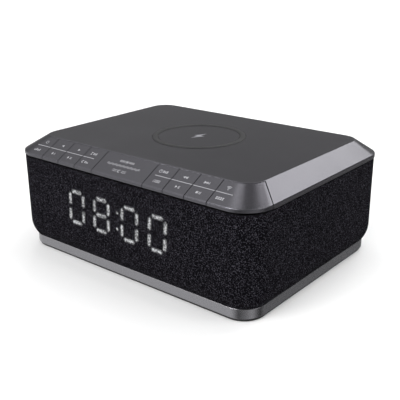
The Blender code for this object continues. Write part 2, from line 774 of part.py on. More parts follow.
def bevel_edges(obj, width):
    modifier = obj.modifiers.new("Bevel", "BEVEL")
    modifier.width = width * MM
    modifier.segments = 1


def make_charger():
    """Wireless charging set: coil, ferrite and their board under the flat top."""
    x, y = COIL_CENTRE
    coil = turned([(10, 0), (22, 0), (22, 1.1), (10, 1.1)], (x, y, 62.9), (0, 0, 1), 32)
    new_object("charging_coil", coil, COPPER)
    outline = rounded_rectangle(x - 23.5, x + 23.5, y - 23.5, y + 23.5, 3, 3)
    new_object("ferrite_sheet", prism(outline, 61.5, 62.5), FERRITE)
    low, high = CHARGER_BOARD
    board = new_object("charger_board", block(low, high), BOARD)
    cut(board, *[rod(PEG_HOLE_RADIUS, (px, py, low[2] - 3), (0, 0, 1), 8, 10) for px, py in CHARGER_PEGS])
    join(board, block((-6, -4, low[2] - 1.4), (6, 8, low[2] + 0.3)))


# ------------------------------------------------------------------ loudspeakers


def make_speaker(side, name):
    """One loudspeaker; distances run inwards from the cabinet wall."""
    centre = (side * SPEAKER_FACE, 0, SPEAKER_Z)
    inward = (-side, 0, 0)
    basket_outside = [(17.9, 0), (20.6, 0), (20.6, 1.2), (19.0, 1.4), (13.0, 10.8), (13.0, 12.2)]
    basket_inside = [(6.6, 12.2), (6.6, 11.0), (11.6, 11.0), (17.9, 1.4)]
    basket = basket_outside + basket_inside
    basket_obj = new_object(f"speaker_basket_{name}", turned(basket, centre, inward, 24), BLACK)
    windows = []
    for k in range(4):
        turn = Matrix.Translation(Vector(centre) * MM) @ Matrix.Rotation(math.radians(45 + 90 * k), 4, "X")
        windows.append(block((-side * 3.2, 10, -4), (-side * 9.4, 24, 4), turn))
    cut(basket_obj, *windows)
    magnet = [(0, 12.5), (11.5, 12.5), (12.4, 13.2), (12.4, 19.6), (11.8, 20.4), (0, 20.4)]
    new_object(f"speaker_magnet_{name}", turned(magnet, centre, inward, 24), STEEL)
    roll_front = [(14.9, 2.0), (15.5, 1.5), (16.2, 1.2), (16.8, 1.4), (17.3, 1.9)]
    roll_back = [(16.9, 2.3), (16.2, 1.9), (15.5, 2.1), (14.9, 2.6)]
    surround = roll_front + roll_back
    new_object(f"speaker_surround_{name}", turned(surround, centre, inward, 24), RUBBER)
    cone_front = [(0, 4.2), (2.6, 4.4), (4.8, 5.4), (14.5, 1.9), (14.5, 2.6)]
    former = [(6.1, 5.9), (5.9, 10.2), (5.3, 10.2), (5.2, 6.3)]
    cone = cone_front + former + [(2.6, 5.1), (0, 4.9)]
    new_object(f"speaker_cone_{name}", turned(cone, centre, inward, 24), PAPER, centre)


# ------------------------------------------------------------------- coin battery


def make_battery():
    """Twist cover, coin cell, its cup and the spring contact above it."""
    x, y = BATTERY_CENTRE
    face = FOOT_HEIGHT + 0.1
    edge = [(COVER_RADIUS - 0.4, face), (COVER_RADIUS, face + 0.4), (COVER_RADIUS, 5.0)]
    cover_body = [(0, face), *edge, (0, 5.0)]
    cover = new_object("battery_cover", turned(cover_body, (0, 0, 0), (0, 0, 1), 28), BLACK, (0, 0, 0))
    lug = COVER_RADIUS + 1.0
    join(cover, block((-lug, -2.2, TRAY_FLOOR + GAP), (lug, 2.2, 4.9)))
    cut(cover, block((-8, -0.9, 0), (8, 0.9, FOOT_HEIGHT + 1.1)))
    cover.location = Vector((x, y, 0)) * MM
    place_tools(cover)
    profile = [(0, 0), (9.4, 0), (10.0, 0.4), (10.0, 2.8), (9.6, 3.2), (0, 3.2)]
    new_object("coin_cell", turned(profile, (x, y, 5.3), (0, 0, 1), 24), STEEL)
    cup = [(0, 4.2), (10.5, 4.2), (10.5, 0), (15.6, 0), (15.6, 1.0), (12.3, 1.6), (12.3, 5.2), (0, 5.2)]
    new_object("coin_cell_cup", turned(cup, (x, y, 5.3), (0, 0, 1), 24), BLACK)
    clip = block((x - 6, y - 1.5, 8.7), (x + 6, y + 1.5, 9.1))
    new_object("coin_cell_contact", clip, STEEL)


# ---------------------------------------------------------------------- wiring


def smooth_line(points, count):
    """Points along one smooth curve through the route's own points (Catmull-Rom)."""
    ends = [2 * points[0] - points[1], *points, 2 * points[-1] - points[-2]]
    spans = len(points) - 1
    line = []
    for k in range(count + 1):
        at = spans * k / count
        i = min(int(at), spans - 1)
        t = at - i
        p0, p1, p2, p3 = ends[i : i + 4]
        bend = 2 * p0 - 5 * p1 + 4 * p2 - p3
        twist = 3 * p1 - p0 - 3 * p2 + p3
        line.append(0.5 * (2 * p1 + (p2 - p0) * t + bend * t**2 + twist * t**3))
    return line


def make_lead(name, route, radius, count=16):
    curve = bpy.data.curves.new(name, "CURVE")
    curve.dimensions = "3D"
    curve.bevel_depth = radius * MM
    curve.bevel_resolution = 2
    curve.use_fill_caps = True
    spline = curve.splines.new("POLY")
    line = smooth_line([Vector(p) for p in route], count)
    spline.points.add(len(line) - 1)
    for point, place in zip(spline.points, line):
        point.co = (*(place * MM), 1.0)
    obj = bpy.data.objects.new(name, curve)
    curve.materials.append(material(WIRE))
    bpy.context.scene.collection.objects.link(obj)


def make_ribbon(name, x0, x1, route):
    """A flat flexible cable: a thin strip that follows route, given as (y, z) points."""
    line = smooth_line([Vector((0, y, z)) for y, z in route], 12)
    rings = []
    for k, place in enumerate(line):
        ahead = line[min(k + 1, len(line) - 1)] - line[max(k - 1, 0)]
        across = Vector((0, -ahead.z, ahead.y)).normalized() * 0.2
        a, b = place + across, place - across
        rings.append([(x0, a.y, a.z), (x1, a.y, a.z), (x1, b.y, b.z), (x0, b.y, b.z)])
    new_object(name, loft(rings), DIFFUSER)


def make_wiring():
    top = MAIN_BOARD[1][2] + GAP
    for side, name in ((-1, "left"), (1, "right")):
        route = [
            (side * 66.0, 14.5, 26.0),
            (side * 60.0, 17.0, 24.5),
            (side * 54.0, 18.0, 25.0),
            (side * 48.5, 17.0, 23.5),
            (side * 46.5, 16.5, top + 0.9),
        ]
        make_lead(f"speaker_lead_{name}", route, 0.8)
    display_route = [(-56.3, 19.9), (-50, 15.5), (-30, 13.5), (-10, 14.0), (3.0, 17.5)]
    make_ribbon("display_ribbon", -8, 8, display_route)
    key_route = [(-49.6, 50.4), (-44, 44), (-30, 36), (-12, 30), (2, 25), (8, 21.0)]
    make_ribbon("key_ribbon", 22, 36, key_route)
    charger = [(-24, 12, 57.9), (-26, 14, 50), (-40, 20, 42), (-44, 26, 32), (-42, 30, 24)]
    charger.append((-41, 31, top + 0.9))
    make_lead("charger_lead", charger, 0.8, 24)


def main():
    for obj in list(bpy.data.objects):
        bpy.data.objects.remove(obj)
    make_top_cover()
    make_keys()
    make_charging_pad()
    make_key_frame()
    make_key_board()
    make_fabric()
    make_cabinet_shell()
    make_base_tray()
    make_base_gasket()
    make_feet()
    make_base_screws()
    make_rear_panel()
    make_sockets()
    make_display()
    make_main_board()
    make_charger()
    make_speaker(-1, "left")
    make_speaker(1, "right")
    make_battery()
    make_wiring()


main()
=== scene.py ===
"""Fine shapes, finishes and light for a clock radio with a charging top.

Sizes held by the classes are in millimetres, and the bench turns them into metres as
it models. X runs to the right along the front, Y to the back and Z up.
"""

import json
import logging
import math
from collections.abc import Callable, Iterator, Sequence
from contextlib import contextmanager
from dataclasses import dataclass, field
from enum import Enum

import bmesh
import bpy
from mathutils import Matrix, Vector

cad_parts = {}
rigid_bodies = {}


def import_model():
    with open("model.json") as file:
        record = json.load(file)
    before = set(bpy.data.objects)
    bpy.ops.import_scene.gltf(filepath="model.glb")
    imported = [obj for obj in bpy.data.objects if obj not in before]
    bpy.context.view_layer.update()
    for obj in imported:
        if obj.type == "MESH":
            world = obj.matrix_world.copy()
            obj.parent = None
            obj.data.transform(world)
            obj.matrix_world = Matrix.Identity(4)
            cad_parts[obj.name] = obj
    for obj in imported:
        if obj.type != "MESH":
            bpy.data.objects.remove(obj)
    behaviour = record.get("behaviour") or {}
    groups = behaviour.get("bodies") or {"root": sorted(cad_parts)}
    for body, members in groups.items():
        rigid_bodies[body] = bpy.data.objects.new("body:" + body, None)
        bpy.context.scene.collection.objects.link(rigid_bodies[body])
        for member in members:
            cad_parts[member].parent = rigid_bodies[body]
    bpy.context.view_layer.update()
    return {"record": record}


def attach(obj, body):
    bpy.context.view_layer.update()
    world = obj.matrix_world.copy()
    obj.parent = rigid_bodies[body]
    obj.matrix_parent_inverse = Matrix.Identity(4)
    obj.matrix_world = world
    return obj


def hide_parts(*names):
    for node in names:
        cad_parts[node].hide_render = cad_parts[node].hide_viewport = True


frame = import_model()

MM = 0.001
log = logging.getLogger("clock_radio")

Triple = tuple[float, float, float]
Pair = tuple[float, float]
Colour = tuple[float, float, float]
Test = Callable[..., bool]

CLOSE = 2e-6
SAME_POINT = 1e-6
FLAT_TURN = 0.5
INK_DEPTH = 0.035
INK_SUNK = 0.01


# --------------------------------------------------------------------- the bench


@dataclass(frozen=True)
class Outline:
    """A rounded rectangle in plan, in millimetres."""

    x0: float
    x1: float
    y0: float
    y1: float
    radius: float

    def inset(self, by: float) -> "Outline":
        """The same outline moved in by a distance, or out if it is negative."""
        return Outline(self.x0 + by, self.x1 - by, self.y0 + by, self.y1 - by, max(self.radius - by, 0.1))


class Bench:
    """Modelling moves shared by the sub-assemblies. Sizes go in as millimetres."""

    @staticmethod
    def clear() -> None:
        """Go to object mode with nothing selected."""
        if bpy.context.mode != "OBJECT":
            bpy.ops.object.mode_set(mode="OBJECT")
        bpy.ops.object.select_all(action="DESELECT")

    @staticmethod
    def take(obj: bpy.types.Object) -> bpy.types.Object:
        """Make one object the only selected one and the active one.

        Args:
            obj: The object.

        Returns:
            The same object.
        """
        Bench.clear()
        obj.select_set(True)
        bpy.context.view_layer.objects.active = obj
        return obj

    @staticmethod
    def settle(obj: bpy.types.Object) -> bpy.types.Object:
        """Put an object's place, turn and scale into its mesh.

        Args:
            obj: The object.

        Returns:
            The same object.
        """
        Bench.take(obj)
        bpy.ops.object.transform_apply(location=True, rotation=True, scale=True)
        return obj

    @staticmethod
    @contextmanager
    def editing(obj: bpy.types.Object, action: str = "SELECT") -> Iterator[None]:
        """Hold an object's mesh open for editing.

        Args:
            obj: The object.
            action: SELECT or DESELECT, done to all of the mesh first.
        """
        Bench.take(obj)
        bpy.ops.object.mode_set(mode="EDIT")
        bpy.ops.mesh.select_all(action=action)
        yield
        bpy.ops.object.mode_set(mode="OBJECT")

    @staticmethod
    def pick(obj: bpy.types.Object, kind: str, test: Test) -> int:
        """Select the parts of an open mesh that pass a test.

        Args:
            obj: The object being edited.
            kind: VERT, EDGE or FACE.
            test: Says whether one vertex, edge or face is wanted.

        Returns:
            How many were selected.
        """
        bpy.ops.mesh.select_mode(type=kind)
        bpy.ops.mesh.select_all(action="DESELECT")
        bm = bmesh.from_edit_mesh(obj.data)
        items = {"VERT": bm.verts, "EDGE": bm.edges, "FACE": bm.faces}[kind]
        wanted = [item for item in items if test(item)]
        for item in wanted:
            item.select_set(True)
        bm.select_flush_mode()
        bmesh.update_edit_mesh(obj.data)
        return len(wanted)

    @staticmethod
    def plate(outline: Outline, z: float, steps: int = 16) -> bpy.types.Object:
        """A flat plate with rounded corners, lying at a height.

        Args:
            outline: The plate's plan outline.
            z: Its height.
            steps: Edges along each corner's arc.

        Returns:
            The plate.
        """
        Bench.clear()
        middle = ((outline.x0 + outline.x1) / 2 * MM, (outline.y0 + outline.y1) / 2 * MM, z * MM)
        bpy.ops.mesh.primitive_plane_add(size=1.0, location=middle)
        plate = bpy.context.object
        plate.scale = ((outline.x1 - outline.x0) * MM, (outline.y1 - outline.y0) * MM, 1.0)
        with Bench.editing(Bench.settle(plate)):
            bpy.ops.mesh.bevel(offset=outline.radius * MM, segments=steps, affect="VERTICES")
        return plate

    @staticmethod
    def through(
        name: str, levels: Sequence[tuple[Outline, float]], steps: int = 16, capped: bool = True
    ) -> bpy.types.Object:
        """A form bridged through plates at rising heights.

        Args:
            name: The new object's name.
            levels: Plan outlines with their heights.
            steps: Edges along each corner's arc.
            capped: Whether its two ends are closed.

        Returns:
            The form.
        """

        def at(*heights: float) -> Test:
            """A test for edges whose two ends each lie at one of some heights."""
            return lambda edge: all(any(abs(v.co.z - z * MM) < CLOSE for z in heights) for v in edge.verts)

        form = Bench.joined(name, [Bench.plate(outline, z, steps) for outline, z in levels])
        with Bench.editing(form):
            Bench.pick(form, "FACE", lambda face: True)
            bpy.ops.mesh.delete(type="ONLY_FACE")
            for (_, low), (_, high) in zip(levels, levels[1:]):
                Bench.pick(form, "EDGE", at(low, high))
                bpy.ops.mesh.bridge_edge_loops()
            if capped:
                for _, z in (levels[0], levels[-1]):
                    Bench.pick(form, "EDGE", at(z))
                    bpy.ops.mesh.edge_face_add()
            bpy.ops.mesh.select_all(action="SELECT")
            bpy.ops.mesh.normals_make_consistent(inside=False)
        return form

    @staticmethod
    def joined(name: str, objects: Sequence[bpy.types.Object]) -> bpy.types.Object:
        """Several objects made one.

        Args:
            name: The name of the whole.
            objects: The objects, which become one.

        Returns:
            The whole.
        """
        Bench.clear()
        for obj in objects:
            obj.select_set(True)
        bpy.context.view_layer.objects.active = objects[0]
        if len(objects) > 1:
            bpy.ops.object.join()
        whole = bpy.context.view_layer.objects.active
        whole.name = name
        whole.data.name = name
        return whole

    @staticmethod
    def block(low: Triple, high: Triple, place: Matrix | None = None) -> bpy.types.Object:
        """A box between two corners, in a tilted frame if one is given.

        Args:
            low: One corner.
            high: The opposite corner.
            place: The frame, in metres, or none for the world.

        Returns:
            The box.
        """
        Bench.clear()
        bpy.ops.mesh.primitive_cube_add(size=1.0)
        cube = bpy.context.object
        middle = Vector([(a + b) / 2 * MM for a, b in zip(low, high)])
        size = [abs(b - a) * MM for a, b in zip(low, high)]
        cube.matrix_world = (place or Matrix()) @ Matrix.Translation(middle) @ Matrix.Diagonal((*size, 1.0))
        return Bench.settle(cube)

    @staticmethod
    def rod(
        centre: Triple, radius: float, length: float, axis: Triple = (0, 0, 1), steps: int = 32
    ) -> bpy.types.Object:
        """A cylinder that starts at a point and runs along an axis.

        Args:
            centre: The middle of the end it starts from.
            radius: Its radius.
            length: Its length.
            axis: The way it runs.
            steps: How many sides it has.

        Returns:
            The cylinder.
        """
        Bench.clear()
        turn = Vector(axis).to_track_quat("Z", "Y").to_euler()
        middle = (Vector(centre) + Vector(axis).normalized() * length / 2) * MM
        bpy.ops.mesh.primitive_cylinder_add(
            vertices=steps, radius=radius * MM, depth=length * MM, location=middle, rotation=turn
        )
        return Bench.settle(bpy.context.object)

    @staticmethod
    def rods(
        places: Sequence[Pair], z: float, radius: float, length: float, steps: int = 32
    ) -> list[bpy.types.Object]:
        """Upright rods that start at one height over some places."""
        return [Bench.rod((x, y, z), radius, length, steps=steps) for x, y in places]

    @staticmethod
    def boolean(
        target: bpy.types.Object, tools: Sequence[bpy.types.Object], operation: str
    ) -> bpy.types.Object:
        """Cut or join an object with tools, which are used up.

        Args:
            target: The object that is changed.
            tools: The tools.
            operation: DIFFERENCE or UNION.

        Returns:
            The changed object.
        """
        tool = Bench.joined("tool", tools)
        Bench.take(target)
        modifier = target.modifiers.new("Boolean", "BOOLEAN")
        modifier.operation = operation
        modifier.solver = "EXACT"
        modifier.object = tool
        bpy.ops.object.modifier_apply(modifier=modifier.name)
        bpy.data.meshes.remove(tool.data)
        return target

    @staticmethod
    def cut(target: bpy.types.Object, *tools: bpy.types.Object) -> bpy.types.Object:
        """Take tools away from an object."""
        return Bench.boolean(target, tools, "DIFFERENCE")

    @staticmethod
    def add(target: bpy.types.Object, *tools: bpy.types.Object) -> bpy.types.Object:
        """Join tools to an object."""
        return Bench.boolean(target, tools, "UNION")

    @staticmethod
    def slice_off(obj: bpy.types.Object, point: Triple, outward: Triple) -> None:
        """Cut an object on a plane, close it there and drop what lies outward.

        Args:
            obj: The object.
            point: A point of the plane.
            outward: The way out of what stays.
        """
        plane = {"plane_co": Vector(point) * MM, "plane_no": Vector(outward)}
        with Bench.editing(obj):
            bpy.ops.mesh.bisect(**plane, use_fill=True, clear_outer=True)

    @staticmethod
    def round_edges(obj: bpy.types.Object, test: Test, width: float, steps: int = 2) -> None:
        """Round the edges that pass a test.

        Args:
            obj: The object.
            test: Says whether one edge is wanted.
            width: The rounding's width.
            steps: How many faces it has across.
        """
        with Bench.editing(obj, "DESELECT"):
            if Bench.pick(obj, "EDGE", test):
                bpy.ops.mesh.bevel(offset=width * MM, segments=steps, affect="EDGES", clamp_overlap=False)

    @staticmethod
    def tidy(obj: bpy.types.Object) -> None:
        """Dissolve the needless edges in an object's flat faces.

        Args:
            obj: The object.
        """
        with Bench.editing(obj):
            bpy.ops.mesh.remove_doubles(threshold=SAME_POINT)
            bpy.ops.mesh.dissolve_limited(angle_limit=math.radians(FLAT_TURN))

    @staticmethod
    def copy(obj: bpy.types.Object, name: str) -> bpy.types.Object:
        """A copy with its own mesh.

        Args:
            obj: The object to copy.
            name: The copy's name.

        Returns:
            The copy.
        """
        twin = obj.copy()
        twin.data = obj.data.copy()
        twin.name = name
        twin.data.name = name
        bpy.context.scene.collection.objects.link(twin)
        return twin

    @staticmethod
    def shape(points: Sequence[Pair], thickness: float, place: Matrix) -> bpy.types.Object:
        """A flat polygon given a thickness, in a placed frame.

        Args:
            points: Its outline in the frame's plane.
            thickness: How far it rises along the frame's Z.
            place: The frame, in metres.

        Returns:
            The polygon.
        """
        Bench.clear()
        bpy.ops.mesh.primitive_circle_add(vertices=len(points), radius=MM, fill_type="NGON")
        obj = bpy.context.object
        for vertex, (x, y) in zip(obj.data.vertices, points):
            vertex.co = (x * MM, y * MM, 0.0)
        with Bench.editing(obj):
            bpy.ops.mesh.extrude_region_move(TRANSFORM_OT_translate={"value": (0, 0, thickness * MM)})
            bpy.ops.mesh.select_all(action="SELECT")
            bpy.ops.mesh.normals_make_consistent(inside=False)
        obj.matrix_world = place
        return Bench.settle(obj)

    @staticmethod
    def mark_highlight_faces(obj: bpy.types.Object, widest: float = 0.45, front_share: float = 0.35) -> None:
        """Mark the narrow upper faces of edges that run across, where finishes paint a highlight.

        Args:
            obj: The piece.
            widest: The widest strip that counts as an edge, in millimetres.
            front_share: How much weaker the painted highlight is on the edges that face the front.
        """
        mesh = obj.data
        edge = mesh.attributes.new("edge", "FLOAT", "FACE")
        for face in mesh.polygons:
            sides = [(mesh.vertices[a].co - mesh.vertices[b].co).length for a, b in face.edge_keys]
            narrow = face.area < widest * MM * max(sides)
            # Only upward, crosswise strips get the painted highlight, where the lights would catch the
            # rounded edges.
            level = face.normal.z > 0.15 and abs(face.normal.x) < 0.2
            highlight_share = 1.0 if face.normal.y > -0.5 else front_share
            edge.data[face.index].value = highlight_share * (narrow and level)

    @staticmethod
    def finish(
        obj: bpy.types.Object,
        finish: "Finish",
        body: str,
        slot: str,
        stands_for: Sequence[str] = (),
        angle: float = 32,
    ) -> bpy.types.Object:
        """Shade, dress and register one finished piece.

        Args:
            obj: The piece.
            finish: What it is made of.
            body: The moving body that it goes with.
            slot: The frame's material slot for the piece; not used.
            stands_for: Frame nodes that it replaces.
            angle: The sharpest angle that is shaded smooth, in degrees.

        Returns:
            The piece.
        """
        Bench.settle(obj)
        bpy.ops.object.shade_smooth_by_angle(angle=math.radians(angle))
        normals = obj.modifiers.new("Normals", "WEIGHTED_NORMAL")
        normals.keep_sharp = True
        normals.weight = 100
        bpy.ops.object.modifier_apply(modifier=normals.name)
        Bench.mark_highlight_faces(obj)
        obj.data.materials.clear()
        obj.data.materials.append(finish.material())
        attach(obj, body)
        if stands_for:
            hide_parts(*stands_for)
        log.info("%s: %d faces, on %s", obj.name, len(obj.data.polygons), body)
        return obj


def at_level(*heights: float) -> Test:
    """A test for edges that lie level at one of some heights."""
    return lambda edge: any(all(abs(v.co.z - z * MM) < CLOSE for v in edge.verts) for z in heights)


def runs_back(edge: bmesh.types.BMEdge) -> bool:
    """Whether an edge runs from the front to the back."""
    return abs((edge.verts[0].co - edge.verts[1].co).normalized().y) > 0.9


def corners(x: float, y: float) -> tuple[Pair, ...]:
    """Four places, one in each quarter of the plan."""
    return tuple((side * x, end * y) for side in (-1, 1) for end in (-1, 1))


def sharp(least: float) -> Test:
    """A test for edges whose faces meet at more than an angle, in degrees."""
    return lambda edge: edge.is_manifold and edge.calc_face_angle(0.0) > math.radians(least)


# ---------------------------------------------------------------------- finishes


class Graph:
    """One material's nodes, with short ways to add and link them."""

    def __init__(self, name: str) -> None:
        """Start a material with a bare Principled shader.

        Args:
            name: The material's name.
        """
        self.material = bpy.data.materials.new(name)
        self.material.use_nodes = True
        self.nodes = self.material.node_tree.nodes
        self.links = self.material.node_tree.links
        self.shader = self.nodes["Principled BSDF"]

    def add(self, kind: str, **settings: object) -> bpy.types.Node:
        """Add a node and set its properties.

        Args:
            kind: The node's type.
            **settings: Properties to set on it.

        Returns:
            The node.
        """
        node = self.nodes.new(kind)
        for name, value in settings.items():
            setattr(node, name, value)
        return node

    def feed(self, socket: bpy.types.NodeSocket, value: object) -> None:
        """Link a socket to another, or give it a plain value.

        Args:
            socket: The input.
            value: Another node's output, or a value.
        """
        if isinstance(value, bpy.types.NodeSocket):
            self.links.new(value, socket)
        else:
            socket.default_value = value

    def put(self, name: str, value: object) -> None:
        """Feed one of the shader's sockets."""
        self.feed(self.shader.inputs[name], value)

    def place(self) -> bpy.types.NodeSocket:
        """Object coordinates, in metres."""
        return self.add("ShaderNodeTexCoord").outputs["Object"]

    def map_uv(self) -> bpy.types.NodeSocket:
        """The piece's own UV map, in metres along its surface."""
        return self.add("ShaderNodeUVMap", uv_map="surface").outputs["UV"]

    def math(self, operation: str, a: object, b: object = 0.0, c: object = 0.0) -> bpy.types.NodeSocket:
        """One sum on numbers.

        Args:
            operation: What is done.
            a: The first number.
            b: The second number.
            c: The third number, where the sum has one.

        Returns:
            The result.
        """
        node = self.add("ShaderNodeMath", operation=operation)
        for socket, value in zip(node.inputs, (a, b, c)):
            self.feed(socket, value)
        return node.outputs[0]

    def vector(self, operation: str, a: object, b: object = (0.0, 0.0, 0.0)) -> bpy.types.NodeSocket:
        """One sum on vectors.

        Args:
            operation: What is done.
            a: The first vector.
            b: The second vector.

        Returns:
            The result.
        """
        node = self.add("ShaderNodeVectorMath", operation=operation)
        self.feed(node.inputs[0], a)
        self.feed(node.inputs[1], b)
        return node.outputs[0]

    def scaled(self, where: bpy.types.NodeSocket, by: float) -> bpy.types.NodeSocket:
        """A vector made longer or shorter.

        Args:
            where: The vector.
            by: How many times longer it gets.

        Returns:
            The scaled vector.
        """
        node = self.add("ShaderNodeVectorMath", operation="SCALE")
        self.feed(node.inputs[0], where)
        node.inputs["Scale"].default_value = by
        return node.outputs[0]

    def reach(self, x: bpy.types.NodeSocket, y: bpy.types.NodeSocket) -> bpy.types.NodeSocket:
        """How far a place lies from the middle in plan."""
        squares = self.math("ADD", self.math("MULTIPLY", x, x), self.math("MULTIPLY", y, y))
        return self.math("SQRT", squares)

    def split(self, source: bpy.types.NodeSocket) -> list[bpy.types.NodeSocket]:
        """The three numbers of a vector.

        Args:
            source: The vector.

        Returns:
            Its X, Y and Z.
        """
        node = self.add("ShaderNodeSeparateXYZ")
        self.feed(node.inputs[0], source)
        return list(node.outputs)

    def noise(self, scale: float, detail: float = 2.0, where: object = None) -> bpy.types.NodeSocket:
        """Smooth noise with a scale in cycles to the metre.

        Args:
            scale: Cycles to the metre.
            detail: How many finer layers are added.
            where: The place, or none for object coordinates.

        Returns:
            The noise, from 0 to 1.
        """
        node = self.add("ShaderNodeTexNoise")
        self.feed(node.inputs["Vector"], self.place() if where is None else where)
        node.inputs["Scale"].default_value = scale
        node.inputs["Detail"].default_value = detail
        return node.outputs["Fac"]

    def random(self, where: bpy.types.NodeSocket) -> bpy.types.NodeSocket:
        """A random number for each place.

        Args:
            where: The place.

        Returns:
            The number, from 0 to 1.
        """
        node = self.add("ShaderNodeTexWhiteNoise", noise_dimensions="3D")
        self.feed(node.inputs["Vector"], where)
        return node.outputs["Value"]

    def span(
        self, source: object, low: float, high: float, bottom: float, top: float
    ) -> bpy.types.NodeSocket:
        """Map one range onto another, held at its ends.

        Args:
            source: The value.
            low: Where the range starts.
            high: Where the range ends.
            bottom: The result at its start.
            top: The result at its end.

        Returns:
            The mapped value.
        """
        node = self.add("ShaderNodeMapRange")
        for socket, value in zip(node.inputs, (source, low, high, bottom, top)):
            self.feed(socket, value)
        return node.outputs[0]

    def blend(self, amount: object, first: object, second: object) -> bpy.types.NodeSocket:
        """Mix two colours.

        Args:
            amount: The share of the second colour.
            first: The first colour.
            second: The second colour.

        Returns:
            The mixed colour.
        """
        node = self.add("ShaderNodeMix", data_type="RGBA")
        inputs = (node.inputs[0], node.inputs[6], node.inputs[7])
        for socket, value in zip(inputs, (amount, first, second)):
            self.feed(socket, value)
        return node.outputs[2]

    def relief(self, height: object, depth: float, strength: float = 1.0) -> None:
        """Give the surface a relief of a depth in millimetres.

        Args:
            height: The height, from 0 to 1.
            depth: The depth of a height of 1.
            strength: How strongly it shows.
        """
        node = self.add("ShaderNodeBump")
        node.inputs["Strength"].default_value = strength
        node.inputs["Distance"].default_value = depth * MM
        self.feed(node.inputs["Height"], height)
        self.links.new(node.outputs[0], self.shader.inputs["Normal"])


def opaque(colour: Colour, by: float = 1.0) -> tuple[float, float, float, float]:
    """A colour made lighter or darker, with full alpha."""
    return (*[min(part * by, 1.0) for part in colour], 1.0)


@dataclass(frozen=True)
class Finish:
    """A finish: its base values, and a pattern that each kind adds."""

    name: str
    colour: Colour
    roughness: float
    metallic: float = 0.0

    def material(self) -> bpy.types.Material:
        """The finish's material, made the first time it is asked for.

        Returns:
            The material.
        """
        found = bpy.data.materials.get(self.name)
        if found:
            return found
        graph = Graph(self.name)
        graph.put("Base Color", opaque(self.colour))
        graph.put("Roughness", self.roughness)
        graph.put("Metallic", self.metallic)
        self.pattern(graph)
        return graph.material

    def pattern(self, graph: Graph) -> None:
        """Add the finish's own pattern."""

    def wander(self, graph: Graph, scale: float, colour: float, roughness: float) -> None:
        """Let colour and roughness wander a little over the surface.

        Args:
            graph: The material's nodes.
            scale: Cycles to the metre.
            colour: The colour's drift, as a share.
            roughness: The roughness's drift.
        """
        drift = graph.noise(scale, 3.0)
        shade = graph.blend(drift, opaque(self.colour, 1 - colour), opaque(self.colour, 1 + colour))
        graph.put("Base Color", shade)
        low, high = max(self.roughness - roughness, 0.02), min(self.roughness + roughness, 1.0)
        graph.put("Roughness", graph.span(drift, 0.3, 0.7, low, high))


@dataclass(frozen=True)
class MetallicPaint(Finish):
    """Satin paint with fine metal flakes in it."""

    flakes_per_metre: float = 9000
    flake_shades: Pair = (0.99, 1.13)
    # How many times paler the painted edge highlight is than the paint.
    painted_edge_highlight: float = 3.2

    def pattern(self, graph: Graph) -> None:
        """Fine flakes that lighten the colour, and a painted highlight that makes the marked edge faces
        paler.

        Args:
            graph: The material's nodes.
        """
        cell = graph.vector("FLOOR", graph.scaled(graph.place(), self.flakes_per_metre))
        flake = graph.span(graph.random(cell), 0.55, 1.0, 0.0, 1.0)
        dim, bright = (opaque(self.colour, shade) for shade in self.flake_shades)
        # Painted highlight: the marked edge faces are lightened in place of light caught on the rounded
        # edges.
        highlight_mask = graph.add("ShaderNodeAttribute", attribute_name="edge").outputs["Fac"]
        shade = graph.blend(highlight_mask, graph.blend(flake, dim, bright), opaque(self.colour, self.painted_edge_highlight))
        graph.put("Base Color", shade)
        gloss = graph.span(graph.noise(45, 3.0), 0.3, 0.7, self.roughness - 0.02, self.roughness + 0.03)
        graph.put("Roughness", gloss)


@dataclass(frozen=True)
class Cloth(Finish):
    """Stretched loudspeaker cloth: a plain weave with paler flecks in the yarn."""

    pitch: float = 0.62
    fleck: Colour = (0.2, 0.2, 0.22)
    flecked_from: float = 0.9
    flecked_to: float = 1.38
    depth: float = 0.16

    def weave(
        self, graph: Graph, where: bpy.types.NodeSocket
    ) -> tuple[bpy.types.NodeSocket, bpy.types.NodeSocket]:
        """The weave over a surface.

        Args:
            graph: The material's nodes.
            where: A place on the surface, in metres.

        Returns:
            The thread's height, and a random number for each crossing.
        """
        stray = graph.add("ShaderNodeTexNoise")
        graph.feed(stray.inputs["Vector"], where)
        stray.inputs["Scale"].default_value = 700
        wobble = graph.vector("ADD", graph.scaled(where, 1 / (self.pitch * MM)), stray.outputs["Color"])
        cell = graph.vector("FLOOR", wobble)
        x, y, _ = graph.split(graph.vector("FRACTION", wobble))
        across = graph.math("SINE", graph.math("MULTIPLY", x, math.pi))
        along = graph.math("SINE", graph.math("MULTIPLY", y, math.pi))
        cx, cy, _ = graph.split(cell)
        odd = graph.math("PINGPONG", graph.math("ADD", cx, cy), 1.0)
        even = graph.math("SUBTRACT", 1.0, odd)
        warp = graph.math("MULTIPLY", across, graph.math("MULTIPLY_ADD", along, 0.5, 0.5))
        weft = graph.math("MULTIPLY", along, graph.math("MULTIPLY_ADD", across, 0.5, 0.5))
        height = graph.math("ADD", graph.math("MULTIPLY", warp, odd), graph.math("MULTIPLY", weft, even))
        return height, graph.random(cell)

    def pattern(self, graph: Graph) -> None:
        """Woven threads, some of them flecked, darkened in the gaps between them: partly the dark backing
        seen through, partly painted shade in the weave's hollows.

        Args:
            graph: The material's nodes.
        """
        height, chance = self.weave(graph, graph.map_uv())
        chance = graph.math("MULTIPLY_ADD", graph.noise(900, 3.0), 0.5, chance)
        flecked = graph.span(chance, self.flecked_from, self.flecked_to, 0.0, 1.0)
        yarn = graph.blend(flecked, opaque(self.colour), opaque(self.fleck))
        # The low parts of the weave are darkened: partly the dark backing behind the cloth, partly painted
        # shade between the threads.
        raised = graph.span(height, 0.1, 0.75, 0.0, 1.0)
        shade = graph.blend(raised, opaque(self.colour, 0.25), yarn)
        graph.put("Base Color", shade)
        graph.put("Specular IOR Level", 0.02)
        graph.relief(height, self.depth, 0.9)


